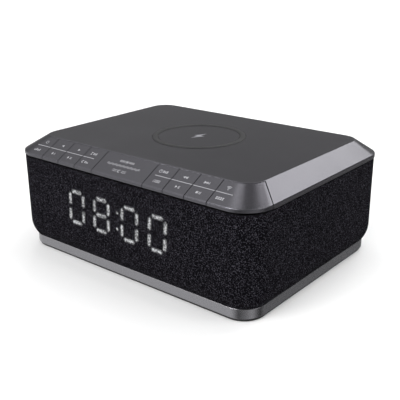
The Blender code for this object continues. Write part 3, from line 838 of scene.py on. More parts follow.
@dataclass(frozen=True)
class Glow(Cloth):
    """Light from the display, seen through the threads of the cloth."""

    strength: float = 1.0

    def pattern(self, graph: Graph) -> None:
        """Light broken up by the weave, strongest in the gaps.

        Args:
            graph: The material's nodes.
        """
        x, _, z = graph.split(graph.place())
        flat = graph.add("ShaderNodeCombineXYZ")
        graph.feed(flat.inputs[0], x)
        graph.feed(flat.inputs[1], z)
        height, chance = self.weave(graph, flat.outputs[0])
        core = graph.add("ShaderNodeAttribute", attribute_name="core").outputs["Fac"]
        thread = graph.math("MULTIPLY_ADD", height, 0.25, chance)
        gaps = graph.span(graph.math("SUBTRACT", core, thread), -0.1, 0.8, 0.0, 1.0)
        light = graph.blend(gaps, opaque(self.colour), opaque(self.fleck))
        graph.put("Emission Color", light)
        graph.put("Emission Strength", self.strength)


@dataclass(frozen=True)
class Moulded(Finish):
    """Moulded plastic or rubber with a fine spark-eroded grain."""

    grain: float = 1400
    depth: float = 0.02

    def pattern(self, graph: Graph) -> None:
        """A fine grain, and a little unevenness in the gloss."""
        self.wander(graph, 60, 0.12, 0.06)
        graph.relief(graph.noise(self.grain, 3.0), self.depth, 0.6)


@dataclass(frozen=True)
class Laminate(Finish):
    """A circuit board: lacquer over tracks, with bare pads."""

    tracks_per_metre: float = 320
    pads_per_metre: float = 240
    tin: Colour = (0.7, 0.68, 0.62)

    def pattern(self, graph: Graph) -> None:
        """Tracks under the lacquer, and small tinned pads.

        Args:
            graph: The material's nodes.
        """
        cells = graph.add("ShaderNodeTexVoronoi", feature="DISTANCE_TO_EDGE", distance="MANHATTAN")
        graph.feed(cells.inputs["Vector"], graph.place())
        cells.inputs["Scale"].default_value = self.tracks_per_metre
        cells.inputs["Randomness"].default_value = 0.8
        track = graph.span(cells.outputs["Distance"], 0.05, 0.12, 1.0, 0.0)
        tracks = graph.blend(track, opaque(self.colour), opaque(self.colour, 1.9))
        dots = graph.add("ShaderNodeTexVoronoi")
        graph.feed(dots.inputs["Vector"], graph.place())
        dots.inputs["Scale"].default_value = self.pads_per_metre
        pad = graph.span(dots.outputs["Distance"], 0.13, 0.17, 1.0, 0.0)
        graph.put("Base Color", graph.blend(pad, tracks, opaque(self.tin)))
        graph.put("Metallic", pad)
        graph.relief(track, 0.03, 0.5)


@dataclass(frozen=True)
class DrawnMetal(Finish):
    """Bright metal with fine lines drawn along one way."""

    along: Triple = (30.0, 1.0, 1.0)

    def pattern(self, graph: Graph) -> None:
        """Long fine lines in the gloss and the relief.

        Args:
            graph: The material's nodes.
        """
        stretched = graph.vector("MULTIPLY", graph.place(), self.along)
        lines = graph.noise(180, 4.0, stretched)
        shade = graph.blend(lines, opaque(self.colour, 0.85), opaque(self.colour, 1.1))
        graph.put("Base Color", shade)
        gloss = graph.span(lines, 0.3, 0.7, self.roughness - 0.08, self.roughness + 0.1)
        graph.put("Roughness", gloss)
        graph.relief(lines, 0.01, 0.3)


@dataclass(frozen=True)
class Winding(Finish):
    """Enamelled wire wound in a flat coil round a centre."""

    centre: Pair = (0.0, 2.0)
    wire: float = 0.8

    def pattern(self, graph: Graph) -> None:
        """Rings one wire apart, each darkened towards its sides as painted shade of the round wire, darkest
        in the lines between them.

        Args:
            graph: The material's nodes.
        """
        middle = (self.centre[0] * MM, self.centre[1] * MM, 0.0)
        x, y, _ = graph.split(graph.vector("SUBTRACT", graph.place(), middle))
        ring = graph.math("FRACT", graph.math("DIVIDE", graph.reach(x, y), self.wire * MM))
        crown = graph.math("SINE", graph.math("MULTIPLY", ring, math.pi))
        # Painted shade: each turn is darkened towards the crevices between turns, as light would fall on a
        # round wire.
        shade = graph.blend(crown, opaque(self.colour, 0.3), opaque(self.colour))
        graph.put("Base Color", shade)
        graph.relief(crown, 0.3, 0.8)


@dataclass(frozen=True)
class Ink(Finish):
    """Pale ink printed on the paint."""

    def pattern(self, graph: Graph) -> None:
        """A thin, slightly uneven coat."""
        self.wander(graph, 900, 0.1, 0.05)


@dataclass(frozen=True)
class PaperSweep(Finish):
    """The pale paper under the radio."""

    near: float = 0.4
    far: float = 1.1
    lift: float = 0.5

    def pattern(self, graph: Graph) -> None:
        """Lift the far paper, where the studio's lights don't reach.

        Args:
            graph: The material's nodes.
        """
        x, y, _ = graph.split(graph.place())
        graph.put("Emission Color", opaque(self.colour))
        lift = graph.span(graph.reach(x, y), self.near, self.far, 0.0, self.lift)
        graph.put("Emission Strength", lift)


DARK_SATIN = MetallicPaint("dark_satin_paint", (0.077, 0.0752, 0.085), 0.23, 0.75)
PALE_SATIN = MetallicPaint("pale_satin_paint", (0.21, 0.208, 0.221), 0.19, 0.85)
CLOTH = Cloth("speaker_cloth", (0.006, 0.0056, 0.0075), 0.95, pitch=0.37, fleck=(0.112, 0.106, 0.13))
BLACK = Moulded("black_moulding", (0.014, 0.014, 0.015), 0.5)
RUBBER = Moulded("black_rubber_grain", (0.016, 0.016, 0.017), 0.78, grain=2200, depth=0.03)
PAPER = Moulded("cone_pulp", (0.03, 0.03, 0.034), 0.88, grain=900, depth=0.08)
FERRITE = Moulded("ferrite_plate", (0.035, 0.034, 0.036), 0.55, grain=1800, depth=0.02)
MILKY = Moulded("milky_plastic", (0.78, 0.8, 0.83), 0.4, grain=500, depth=0.005)
JACKET = Moulded("wire_jacket_vinyl", (0.3, 0.02, 0.02), 0.5, grain=500, depth=0.01)
BOARD = Laminate("board_lacquer", (0.012, 0.11, 0.04), 0.35)
STEEL = DrawnMetal("drawn_steel", (0.6, 0.6, 0.62), 0.3, 1.0)
COPPER = Winding("copper_winding", (0.72, 0.3, 0.14), 0.3, 1.0)
INK = Ink("pale_ink", (0.34, 0.34, 0.36), 0.55)
FAINT_INK = Ink("grey_ink", (0.22, 0.22, 0.24), 0.55)
GLOW = Glow("display_glow", (0.02, 0.02, 0.022), 0.9, fleck=(0.85, 0.86, 0.88), pitch=0.6, strength=0.78)

PAPER_SWEEP = PaperSweep("pale_floor", (0.93, 0.93, 0.93), 0.8)

SLOT_FINISH: dict[str, Finish] = {
    "satin_grey": DARK_SATIN,
    "black_plastic": BLACK,
    "black_fabric": BLACK,
    "black_rubber": RUBBER,
    "green_board": BOARD,
    "bright_steel": STEEL,
    "copper": COPPER,
    "ferrite": FERRITE,
    "cone_paper": PAPER,
    "white_diffuser": MILKY,
    "wire_jacket": JACKET,
}


# --------------------------------------------------------------------- the cover

BODY = Outline(-85.5, 85.5, -65.0, 65.0, 16.0)
TOP = Outline(-75.5, 75.5, -51.3, 55.0, 10.0)
LIP_BOTTOM = 56.8
LIP_TOP = 59.0
HEIGHT = 66.5
SLOPE_RUN = TOP.y0 - BODY.y0
SLOPE_ANGLE = math.atan2(HEIGHT - LIP_TOP, SLOPE_RUN)
SLOPE_LENGTH = math.hypot(HEIGHT - LIP_TOP, SLOPE_RUN)
SEAM_INNER = Vector((TOP.x1, TOP.y0 + TOP.radius))
SEAM_OUTER = Vector((BODY.x1, BODY.y0 + BODY.radius))
SEAM_ALONG = (SEAM_OUTER - SEAM_INNER).normalized()
SEAM_FRONT = Vector((SEAM_ALONG.y, -SEAM_ALONG.x))
KEY_GAP = 0.35


@dataclass
class CapForm:
    """The hipped cap that the cover and the keys are cut from."""

    wall: float = 2.2
    inner_foot: float = 58.2
    inner_top: float = 64.4
    steps: int = 20

    def hollow(self, name: str, lip_bottom: float) -> bpy.types.Object:
        """The cap, hollow below, with its outer edges softened.

        Args:
            name: The new object's name.
            lip_bottom: The height of the lip's lower edge.

        Returns:
            The cap.
        """
        cap = Bench.through(name, [(BODY, lip_bottom), (BODY, LIP_TOP), (TOP, HEIGHT)], self.steps)
        for height, width, steps in ((lip_bottom, 0.2, 2), (LIP_TOP, 0.45, 4), (HEIGHT, 0.35, 3)):
            Bench.round_edges(cap, at_level(height), width, steps)
        core_levels = [
            (BODY.inset(self.wall), lip_bottom - 2),
            (BODY.inset(self.wall), self.inner_foot),
            (TOP.inset(0.6), self.inner_top),
        ]
        return Bench.cut(cap, Bench.through("core", core_levels, self.steps))

    def slab(self, outline: Outline) -> bpy.types.Object:
        """An upright prism that runs past the cap's top and bottom."""
        return Bench.through("slab", [(outline, 45.0), (outline, 80.0)], self.steps)


@dataclass
class TopCover:
    """The flat top with its side and back slopes, the charging ring and its mark."""

    form: CapForm = field(default_factory=CapForm)
    pillars: tuple[Pair, ...] = corners(62.0, 41.0)
    coil_centre: Pair = (0.0, 2.0)
    pillar_foot: float = 9.0
    pillar_radius: float = 3.6
    pillar_length: float = 56.4
    screw_hole: float = 1.7
    ring_radius: float = 25.25
    ring_width: float = 3.2
    ring_flatness: float = 0.34
    groove_width: float = 3.5
    groove_depth: float = 0.6

    def build(self) -> None:
        """Model the cover and the ring, and dress them."""
        cover = self.form.hollow("top_cover_shell", LIP_BOTTOM)
        Bench.cut(cover, self.key_space())
        Bench.tidy(cover)
        Bench.round_edges(cover, self.seam_edge, 0.16, 2)
        self.add_pillars(cover)
        self.cut_groove(cover)
        Bench.finish(cover, DARK_SATIN, "cabinet", "satin_grey", ["top_cover"])
        self.build_ring()
        self.build_mark()

    def key_space(self) -> bpy.types.Object:
        """The space in front of the cover's seams.

        Returns:
            The space, as a tool to cut with.
        """
        space = Bench.block((-95, -80, 50), (95, -20, 80))
        for side in (1, -1):
            start = (side * SEAM_INNER.x, SEAM_INNER.y, 0)
            Bench.slice_off(space, start, (-side * SEAM_FRONT.x, -SEAM_FRONT.y, 0))
        return Bench.cut(space, self.form.slab(TOP))

    @staticmethod
    def seam_edge(edge: bmesh.types.BMEdge) -> bool:
        """Whether an edge lies where the cover meets the keys, on the outside.

        Args:
            edge: The edge.

        Returns:
            Whether it is one.
        """
        if not sharp(40)(edge):
            return False
        low = min(v.co.z for v in edge.verts) / MM
        normals = [face.normal for face in edge.link_faces]
        faces_out = any(n.z > 0.3 or (abs(n.z) < 0.1 and n.y < -0.1) for n in normals)
        front = max(v.co.y for v in edge.verts) / MM < SEAM_INNER.y + 0.5
        return low > LIP_BOTTOM + 0.3 and faces_out and front

    def add_pillars(self, cover: bpy.types.Object) -> None:
        """Add the four pillars that the base screws grip."""
        Bench.add(cover, *Bench.rods(self.pillars, self.pillar_foot, self.pillar_radius, self.pillar_length))
        Bench.cut(cover, *Bench.rods(self.pillars, self.pillar_foot - 1, self.screw_hole, 14.0, 16))

    def cut_groove(self, cover: bpy.types.Object) -> None:
        """Cut the groove that the charging ring sits in.

        Args:
            cover: The cover.
        """
        x, y = self.coil_centre
        half = self.groove_width / 2
        groove = Bench.rod((x, y, HEIGHT - self.groove_depth), self.ring_radius + half, 3.0, steps=96)
        Bench.cut(groove, Bench.rod((x, y, HEIGHT - 2.0), self.ring_radius - half, 6.0, steps=96))
        Bench.cut(cover, groove)

    def build_ring(self) -> None:
        """The soft ring: a torus pressed flat."""
        Bench.clear()
        bpy.ops.mesh.primitive_torus_add(
            location=(self.coil_centre[0] * MM, self.coil_centre[1] * MM, (HEIGHT - 0.02) * MM),
            major_radius=self.ring_radius * MM,
            minor_radius=self.ring_width / 2 * MM,
            major_segments=96,
            minor_segments=16,
        )
        ring = bpy.context.object
        ring.scale = (1.0, 1.0, self.ring_flatness)
        ring.name = "charging_ring"
        Bench.finish(ring, RUBBER, "cabinet", "black_rubber", ["charging_pad_ring"], 60)

    def build_mark(self) -> None:
        """The charging mark printed in the ring: a plain bolt."""
        bolt = [(0.9, 6.0), (-3.0, -0.7), (-0.5, -0.7), (-1.1, -6.0), (3.0, 1.0), (0.4, 1.0)]
        place = Matrix.Translation(Vector((*self.coil_centre, HEIGHT - INK_SUNK)) * MM)
        mark = Bench.shape(bolt, INK_DEPTH, place)
        mark.name = "charging_mark"
        Bench.finish(mark, FAINT_INK, "cabinet", "white_diffuser")


# ---------------------------------------------------------------------- the keys


class Sign(Enum):
    """The plain signs printed on the keys."""

    POWER = "power"
    MODE = "mode"
    BACK = "back"
    FORWARD = "forward"
    BELL_ONE = "bell_one"
    BELL_TWO = "bell_two"
    TIMER = "timer"
    SLEEP = "sleep"
    SUN = "sun"
    SNOOZE = "snooze"
    CLOCK = "clock"
    LIST = "list"
    REWIND = "rewind"
    PLAY = "play"
    ADVANCE = "advance"
    STOP = "stop"
    WAVES = "waves"
    MEMORY = "memory"


def on_circle(centre: Pair, radius: float, angle: float) -> Pair:
    """The place on a circle at an angle, in radians."""
    return centre[0] + radius * math.cos(angle), centre[1] + radius * math.sin(angle)


def band(centre: Pair, radius: float, width: float, start: float, end: float, steps: int = 18) -> list[Pair]:
    """A curved band round a centre.

    Args:
        centre: The centre it bends round.
        radius: The radius of its middle line.
        width: Its width.
        start: Where it starts, in degrees.
        end: Where it ends, in degrees.
        steps: How many straight pieces it has.

    Returns:
        Its outline.
    """
    angles = [math.radians(start + (end - start) * k / steps) for k in range(steps + 1)]
    outer = [on_circle(centre, radius + width / 2, angle) for angle in angles]
    inner = [on_circle(centre, radius - width / 2, angle) for angle in angles]
    return outer + inner[::-1]


def bar(x0: float, x1: float, y0: float, y1: float) -> list[Pair]:
    """An upright rectangle."""
    return [(x0, y0), (x1, y0), (x1, y1), (x0, y1)]


def wedge(tip: float, base: float) -> list[Pair]:
    """A triangle that points from its base to its tip."""
    points = [(tip, 0.0), (base, 0.8), (base, -0.8)]
    return points if tip < base else points[::-1]


def ripple(ends: Pair, y: float, height: float, width: float, waves: float, steps: int) -> list[Pair]:
    """A wavy band.

    Args:
        ends: Where it starts and ends along X.
        y: The height of its middle.
        height: How far it swings to either side.
        width: Its width.
        waves: How many waves it makes.
        steps: How many straight pieces it has.

    Returns:
        Its outline.
    """
    start, end = ends
    turn = 2 * math.pi * waves / steps
    line = [(start + (end - start) * k / steps, y + height * math.sin(turn * k)) for k in range(steps + 1)]
    return [(a, b + width / 2) for a, b in line] + [(a, b - width / 2) for a, b in reversed(line)]


def disc(x: float, y: float, radius: float, steps: int = 12) -> list[Pair]:
    """A filled circle."""
    return [on_circle((x, y), radius, 2 * math.pi * k / steps) for k in range(steps)]


def bars(
    start: float, pitch: float, width: float, heights: Sequence[float], low: float = -0.75
) -> list[list[Pair]]:
    """A row of upright bars that stand on one level."""
    lefts = [start + k * pitch for k in range(len(heights))]
    return [bar(left, left + width, low, low + height) for left, height in zip(lefts, heights)]


def bell(x: float) -> list[list[Pair]]:
    """A small alarm bell: half of it, mirrored, and its clapper.

    Args:
        x: Where its middle is.

    Returns:
        The outlines of the bell and its clapper.
    """
    half = [(0.75, -0.45), (0.5, -0.1), (0.45, 0.5), (0.15, 0.85)]
    body = [(x - a, b) for a, b in half[:1]] + [(x + a, b) for a, b in half]
    body += [(x - a, b) for a, b in reversed(half[1:])]
    return [body, bar(x - 0.2, x + 0.2, -0.85, -0.6)]


LINE = 0.26


def sign_shapes(sign: Sign) -> list[list[Pair]]:
    """The polygons of a sign, about its centre, in millimetres.

    Args:
        sign: The sign.

    Returns:
        The outline of each of its pieces.
    """
    tall = (1.6, 1.6)
    sleepy = ((-5.0, -1.8), (1.4, 4.6))
    rows = {
        Sign.POWER: [band((0, 0), 0.95, LINE, -235, 55), bar(-LINE / 2, LINE / 2, 0.2, 1.3)],
        Sign.MODE: bars(-2.6, 1.3, 0.85, (0.8, 1.6, 1.1, 1.5), -0.8),
        Sign.BACK: [wedge(-0.9, 0.8)],
        Sign.FORWARD: [wedge(0.9, -0.8)],
        Sign.BELL_ONE: [*bell(-1.0), bar(0.7, 1.0, -0.8, 0.8)],
        Sign.BELL_TWO: [*bell(-1.2), *bars(0.5, 0.7, 0.3, tall, -0.8)],
        Sign.TIMER: [
            [(-2.4, 0.9), (-1.0, 0.9), (-1.7, 0.0)],
            [(-2.4, -0.9), (-1.7, 0.0), (-1.0, -0.9)],
            *bars(-0.3, 0.95, 0.55, (1.5, 1.15, 1.5)),
        ],
        Sign.SLEEP: [band((-1.9, 0.0), 0.72, 0.4, 70, 290), *bars(-0.6, 1.05, 0.6, (1.5, 1.2, 0.9))],
        Sign.SUN: [
            disc(0, 0, 0.55),
            *[band((0, 0), 1.05, 0.4, 45 * k - 7, 45 * k + 7, 1) for k in range(8)],
            *bars(-4.9, 0.95, 0.4, (1.4,) * 4, -0.7),
            *bars(1.7, 0.95, 0.4, (1.4,) * 4, -0.7),
        ],
        Sign.SNOOZE: [
            band((-0.2, 0), 0.8, 0.42, 60, 300),
            *[ripple(ends, y, 0.2, LINE, 1.5, 16) for ends in sleepy for y in (-0.5, 0.5)],
        ],
        Sign.CLOCK: [
            band((-2.1, 0), 0.95, LINE, 0, 356),
            bar(-2.2, -2.0, 0, 0.65),
            bar(-2.1, -1.6, -0.1, 0.1),
            *bars(-0.5, 1.1, 0.65, (1.6, 1.3, 1.6), -0.8),
        ],
        Sign.LIST: [
            bar(left, right, y - LINE / 2, y + LINE / 2)
            for left, right in ((-2.2, -1.8), (-1.4, 2.2))
            for y in (-0.65, 0, 0.65)
        ],
        Sign.REWIND: [wedge(-1.5, -0.2), wedge(-0.2, 1.1), bar(1.2, 1.45, -0.8, 0.8)],
        Sign.PLAY: [wedge(0.1, -1.2), *bars(0.6, 0.6, 0.28, tall, -0.8)],
        Sign.ADVANCE: [
            bar(-1.75, -1.5, -0.8, 0.8),
            wedge(-0.1, -1.4),
            wedge(1.2, -0.1),
            bar(1.3, 1.55, -0.8, 0.8),
        ],
        Sign.STOP: [bar(-1.5, -0.3, -0.65, 0.65), *bars(0.4, 0.7, 0.3, tall, -0.8)],
        Sign.WAVES: [
            disc(0, -0.9, 0.28),
            *[band((0, -0.9), radius, LINE, 50, 130, 8) for radius in (0.85, 1.45, 2.05)],
        ],
        Sign.MEMORY: [
            bar(-2.3 + k * 1.2, -1.45 + k * 1.2, y, y + 0.68) for k in range(4) for y in (-0.8, 0.12)
        ],
    }
    return rows[sign]


@dataclass(frozen=True)
class KeyPlan:
    """One key: its body's name, its seams and its two printed signs."""

    body: str
    left: float | None
    right: float | None
    upper: Sign
    upper_x: float
    lower: Sign
    lower_x: float


@dataclass
class KeyRow:
    """Nine keys that wrap over the front slope, with their printing."""

    form: CapForm = field(default_factory=CapForm)
    lip_bottom: float = 57.1
    upper_row: float = 0.7
    lower_row: float = 0.26
    line_at: float = 0.49
    line_ends: tuple[Pair, ...] = ((-70.3, -23.1), (21.5, 69.4))
    line_width: float = 0.34
    line_clear: float = 0.15
    wave_ends: Pair = (-12.7, 10.7)
    wave_height: float = 0.32
    wave_width: float = 0.22
    wave_shift: float = 0.35
    wave_count: float = 8.5
    wide_from: float = 20.0
    back_at: float = -25.0
    stem_half: float = 2.0
    stem_depth: float = 7.2
    stem_reach: float = 10.0
    end_stem: float = 66.0
    barb_half: float = 2.8
    keys: tuple[KeyPlan, ...] = (
        KeyPlan("key_power_mode", None, -59.2, Sign.POWER, -65.2, Sign.MODE, -67.0),
        KeyPlan("key_back_alarm_1", -59.2, -45.6, Sign.BACK, -51.6, Sign.BELL_ONE, -53.0),
        KeyPlan("key_forward_alarm_2", -45.6, -32.0, Sign.FORWARD, -38.0, Sign.BELL_TWO, -39.6),
        KeyPlan("key_timer_sleep", -32.0, -18.4, Sign.TIMER, -26.0, Sign.SLEEP, -26.6),
        KeyPlan("key_snooze_dimmer", -18.4, 18.4, Sign.SUN, -0.8, Sign.SNOOZE, -0.8),
        KeyPlan("key_clock_set", 18.4, 32.0, Sign.CLOCK, 25.0, Sign.LIST, 25.2),
        KeyPlan("key_volume_down", 32.0, 45.6, Sign.REWIND, 39.0, Sign.PLAY, 38.6),
        KeyPlan("key_volume_up", 45.6, 59.2, Sign.ADVANCE, 52.2, Sign.STOP, 51.7),
        KeyPlan("key_wireless_memory", 59.2, None, Sign.WAVES, 65.0, Sign.MEMORY, 64.4),
    )

    def build(self) -> None:
        """Cut every key from one cap, then print on each."""
        strip = self.form.hollow("key_strip", self.lip_bottom)
        Bench.cut(strip, self.form.slab(TOP.inset(-KEY_GAP)))
        for plan in self.keys:
            self.build_key(strip, plan)
            self.print_key(plan)
        bpy.data.meshes.remove(strip.data)

    def build_key(self, strip: bpy.types.Object, plan: KeyPlan) -> None:
        """One key, sliced from the strip at its seams.

        Args:
            strip: The cap without its flat top.
            plan: The key's seams.
        """
        key = Bench.copy(strip, f"{plan.body}_cap")
        Bench.slice_off(key, (0, self.back_at, 0), (0, 1, 0))
        for seam, side in ((plan.left, -1), (plan.right, 1)):
            if seam is None:
                start = SEAM_INNER + SEAM_FRONT * KEY_GAP
                inward = (-side * SEAM_FRONT.x, -SEAM_FRONT.y, 0)
                Bench.slice_off(key, (side * start.x, start.y, 0), inward)
            else:
                Bench.slice_off(key, (seam - side * KEY_GAP / 2, 0, 0), (side, 0, 0))
        Bench.tidy(key)
        Bench.round_edges(key, sharp(40), 0.14, 2)
        self.add_stems(key, plan)
        Bench.finish(key, DARK_SATIN, plan.body, "satin_grey", [plan.body])

    def slope(self, depth: float = 0.0) -> Matrix:
        """The front slope's frame: X along it, Y up it, Z out of it, from the lip's edge."""
        base = Matrix.Translation((0, BODY.y0 * MM, LIP_TOP * MM)) @ Matrix.Rotation(SLOPE_ANGLE, 4, "X")
        return base @ Matrix.Translation((0, 0, depth * MM))

    def add_stems(self, key: bpy.types.Object, plan: KeyPlan) -> None:
        """Add the stems that hook into the rail and press the switches.

        Args:
            key: The key.
            plan: Its seams.
        """
        if plan.left is None or plan.right is None:
            places = [self.end_stem if plan.right is None else -self.end_stem]
        elif plan.right - plan.left > self.wide_from:
            places = [-self.stem_reach, self.stem_reach]
        else:
            places = [(plan.left + plan.right) / 2]
        y, half, low = SLOPE_LENGTH / 2, self.stem_half, -self.stem_depth
        out, proud = self.barb_half, half + 0.05
        for x in places:
            for corner, opposite in (
                ((x - half, y - half, low), (x + half, y + half, -1.0)),
                ((x - out, y - proud, low - 0.05), (x + out, y + proud, low + 0.7)),
            ):
                Bench.add(key, Bench.block(corner, opposite, self.slope()))

    def print_key(self, plan: KeyPlan) -> None:
        """Print a key's two signs and its part of the dividing line.

        Args:
            plan: The key's seams and signs.
        """
        place = self.slope(-INK_SUNK)
        shapes = []
        upper = (plan.upper, plan.upper_x, self.upper_row)
        lower = (plan.lower, plan.lower_x, self.lower_row)
        for sign, x, row in (upper, lower):
            for outline in sign_shapes(sign):
                moved = [(x + a, row * SLOPE_LENGTH + b) for a, b in outline]
                shapes.append(Bench.shape(moved, INK_DEPTH, place))
        shapes += self.dividing_line(plan, place)
        printing = Bench.joined(f"{plan.body}_print", shapes)
        Bench.finish(printing, INK, plan.body, "white_diffuser")

    def dividing_line(self, plan: KeyPlan, place: Matrix) -> list[bpy.types.Object]:
        """The line between a key's two signs, or the wide key's waves.

        Args:
            plan: The key's seams.
            place: The slope's frame, in metres.

        Returns:
            The line, or the two waves.
        """
        y, half = self.line_at * SLOPE_LENGTH, self.line_width / 2
        if plan.left is not None and plan.right is not None and plan.right - plan.left > self.wide_from:
            height, width, count = self.wave_height, self.wave_width, self.wave_count
            levels = (y - self.wave_shift, y + self.wave_shift)
            waves = [ripple(self.wave_ends, level, height, width, count, 96) for level in levels]
            return [Bench.shape(wave, INK_DEPTH, place) for wave in waves]
        start, end = self.line_ends[0] if plan.upper_x < 0 else self.line_ends[1]
        edge = KEY_GAP / 2 + self.line_clear
        left = start if plan.left is None else max(start, plan.left + edge)
        right = end if plan.right is None else min(end, plan.right - edge)
        return [Bench.shape(bar(left, right, y - half, y + half), INK_DEPTH, place)]


# ----------------------------------------------------------------- cloth and body


@dataclass
class ClothSleeve:
    """The cloth stretched round the cabinet."""

    inset: float = 0.3
    thickness: float = 0.7
    top: float = 56.2
    foot: float = 7.3
    curve_top: float = 16.5
    turn_in: float = 3.2
    fold: float = 0.6
    plumb_at: float = 7.0
    panel: Triple = (33.3, 18.1, 33.9)
    panel_radius: float = 2.3

    def profile(self) -> list[Pair]:
        """The sleeve's outside, as inset and height from its foot up.

        Returns:
            Pairs of inset and height.
        """
        drop = self.curve_top - self.plumb_at
        radius = (drop * drop + self.turn_in**2) / (2 * self.turn_in)
        line = [(self.inset, self.top), (self.inset, self.top - self.fold)]
        steps = 10
        for step in range(steps + 1):
            below = (self.curve_top - self.foot) * step / steps
            line.append((self.inset + radius - math.sqrt(radius**2 - below**2), self.curve_top - below))
        return line[::-1]

    def build(self) -> None:
        """Bridge the outside, give it thickness and cut it round the back panel."""
        levels = [(BODY.inset(inset), z) for inset, z in self.profile()]
        sleeve = Bench.through("cloth_sleeve", levels, 20, capped=False)
        Bench.take(sleeve)
        wall = sleeve.modifiers.new("Wall", "SOLIDIFY")
        wall.thickness = self.thickness * MM
        wall.offset = -1.0
        bpy.ops.object.modifier_apply(modifier=wall.name)
        Bench.round_edges(sleeve, at_level(self.top), 0.3, 2)
        half, low, high = self.panel
        opening = Bench.block((-half, 60, low), (half, 70, high))
        Bench.round_edges(opening, runs_back, self.panel_radius, 5)
        Bench.cut(sleeve, opening)
        Bench.finish(sleeve, CLOTH, "cabinet", "black_fabric", ["fabric_sleeve"], 40)
        self.lay_threads(sleeve)
        around = self.girth()

    def girth(self) -> float:
        """The distance round the sleeve.

        Returns:
            The distance.
        """
        outline = BODY.inset(self.inset)
        straight = 2 * (outline.x1 - outline.x0 + outline.y1 - outline.y0) - 8 * outline.radius
        return straight + 2 * math.pi * outline.radius

    def along(self, x: float, y: float) -> float:
        """How far round the sleeve a place lies, from the start of the back left corner.

        Args:
            x: The place along X.
            y: The place along Y.

        Returns:
            The distance.
        """
        outline = BODY.inset(self.inset)
        r = outline.radius
        left, right, front, back = outline.x0 + r, outline.x1 - r, outline.y0 + r, outline.y1 - r
        cx, cy = max(left, min(x, right)), max(front, min(y, back))
        turn = (math.atan2(y - cy, x - cx) - math.pi / 2) % (2 * math.pi)
        slack = 1e-4
        if min(turn, 2 * math.pi - turn) < slack:
            return 0.0 if cx <= left + slack else self.girth() - (cx - left)
        if turn < math.pi - slack:
            return turn * r + back - cy
        return turn * r + (back - front) + (cx - left) + (cy - front)

    def lay_threads(self, sleeve: bpy.types.Object) -> None:
        """Give the sleeve a UV map in metres, so that the weave follows the surface.

        Args:
            sleeve: The sleeve.
        """
        layer = sleeve.data.uv_layers.new(name="surface")
        girth = self.girth()
        for face in sleeve.data.polygons:
            home = self.along(face.center.x / MM, face.center.y / MM)
            for loop in face.loop_indices:
                place = sleeve.data.vertices[sleeve.data.loops[loop].vertex_index].co / MM
                round_it = self.along(place.x, place.y)
                if round_it - home > girth / 2:
                    round_it -= girth
                elif home - round_it > girth / 2:
                    round_it += girth
                layer.data[loop].uv = (round_it * MM, place.z * MM)


@dataclass
class DisplayGlow:
    """The lit digits, seen through the cloth."""

    centre: Pair = (-2.35, 34.5)
    pitch: float = 19.5
    colon_gap: float = 1.4
    half_width: float = 5.3
    half_height: float = 9.1
    thickness: float = 2.9
    upright: float = 7.9
    level: float = 8.8
    tip_share: float = 0.7
    fade: float = 0.95
    colon_shift: float = 1.6
    dot_height: float = 4.6
    dot_radius: float = 0.95
    dot_fade: float = 0.3
    depth: float = 0.1
    proud: float = 0.35
    slant: float = 0.06
    lit: tuple[str, ...] = ("abcdef", "abcdefg", "abcdef", "abcdef")

    def segment(self, letter: str) -> list[Pair]:
        """One bar of a digit: a to f clockwise from the top, and g across the middle.

        Args:
            letter: The bar's letter.

        Returns:
            Its outline, about the digit's centre.
        """
        w, h = self.half_width, self.half_height
        places = ((0, h), (w, h / 2), (w, -h / 2), (0, -h), (-w, -h / 2), (-w, h / 2), (0, 0))
        x, z = places["abcdefg".index(letter)]
        standing = letter in "bcef"
        half, wide = (self.upright if standing else self.level) / 2, self.thickness / 2
        tip = half - wide * self.tip_share
        shape = [(-half, 0), (-tip, -wide), (tip, -wide), (half, 0), (tip, wide), (-tip, wide)]
        if standing:
            shape = [(-b, a) for a, b in shape]
        return [(x + a + self.slant * (z + b), z + b) for a, b in shape]

    def lit_shape(self, outline: Sequence[Pair], place: Matrix, fade: float) -> bpy.types.Object:
        """One lit shape, whose light fades from its core to its edge.

        Args:
            outline: Its outline on the display's face.
            place: The display's frame.
            fade: How far in from the edge the light is at its full strength.

        Returns:
            The shape, with the attribute that the light follows.
        """
        obj = Bench.shape(outline, self.depth, place)
        front = min(face.center.y for face in obj.data.polygons)
        with Bench.editing(obj, "DESELECT"):
            Bench.pick(obj, "FACE", lambda face: abs(face.calc_center_median().y - front) < CLOSE)
            bpy.ops.mesh.inset(thickness=fade * MM, depth=0.0)
        core = obj.data.attributes.new("core", "FLOAT", "POINT")
        for vertex in obj.data.vertices:
            core.data[vertex.index].value = float(vertex.index < 2 * len(outline))
        return obj

    def build(self) -> None:
        """Lay every lit bar and the colon just proud of the cloth's face."""
        x, z = self.centre
        turn = Matrix.Rotation(math.pi / 2, 4, "X")
        place = Matrix.Translation(Vector((x, BODY.y0 + self.proud, z)) * MM) @ turn
        half = (self.pitch + self.colon_gap) / 2
        starts = (-half - self.pitch, -half, half, half + self.pitch)
        shapes = []
        for start, letters in zip(starts, self.lit):
            for letter in letters:
                outline = [(start + a, b) for a, b in self.segment(letter)]
                shapes.append(self.lit_shape(outline, place, self.fade))
        for height in (-self.dot_height, self.dot_height):
            dot = disc(self.colon_shift + self.slant * height, height, self.dot_radius)
            shapes.append(self.lit_shape(dot, place, self.dot_fade))
        glow = Bench.joined("display_glow_digits", shapes)
        Bench.finish(glow, GLOW, "cabinet", "white_diffuser")


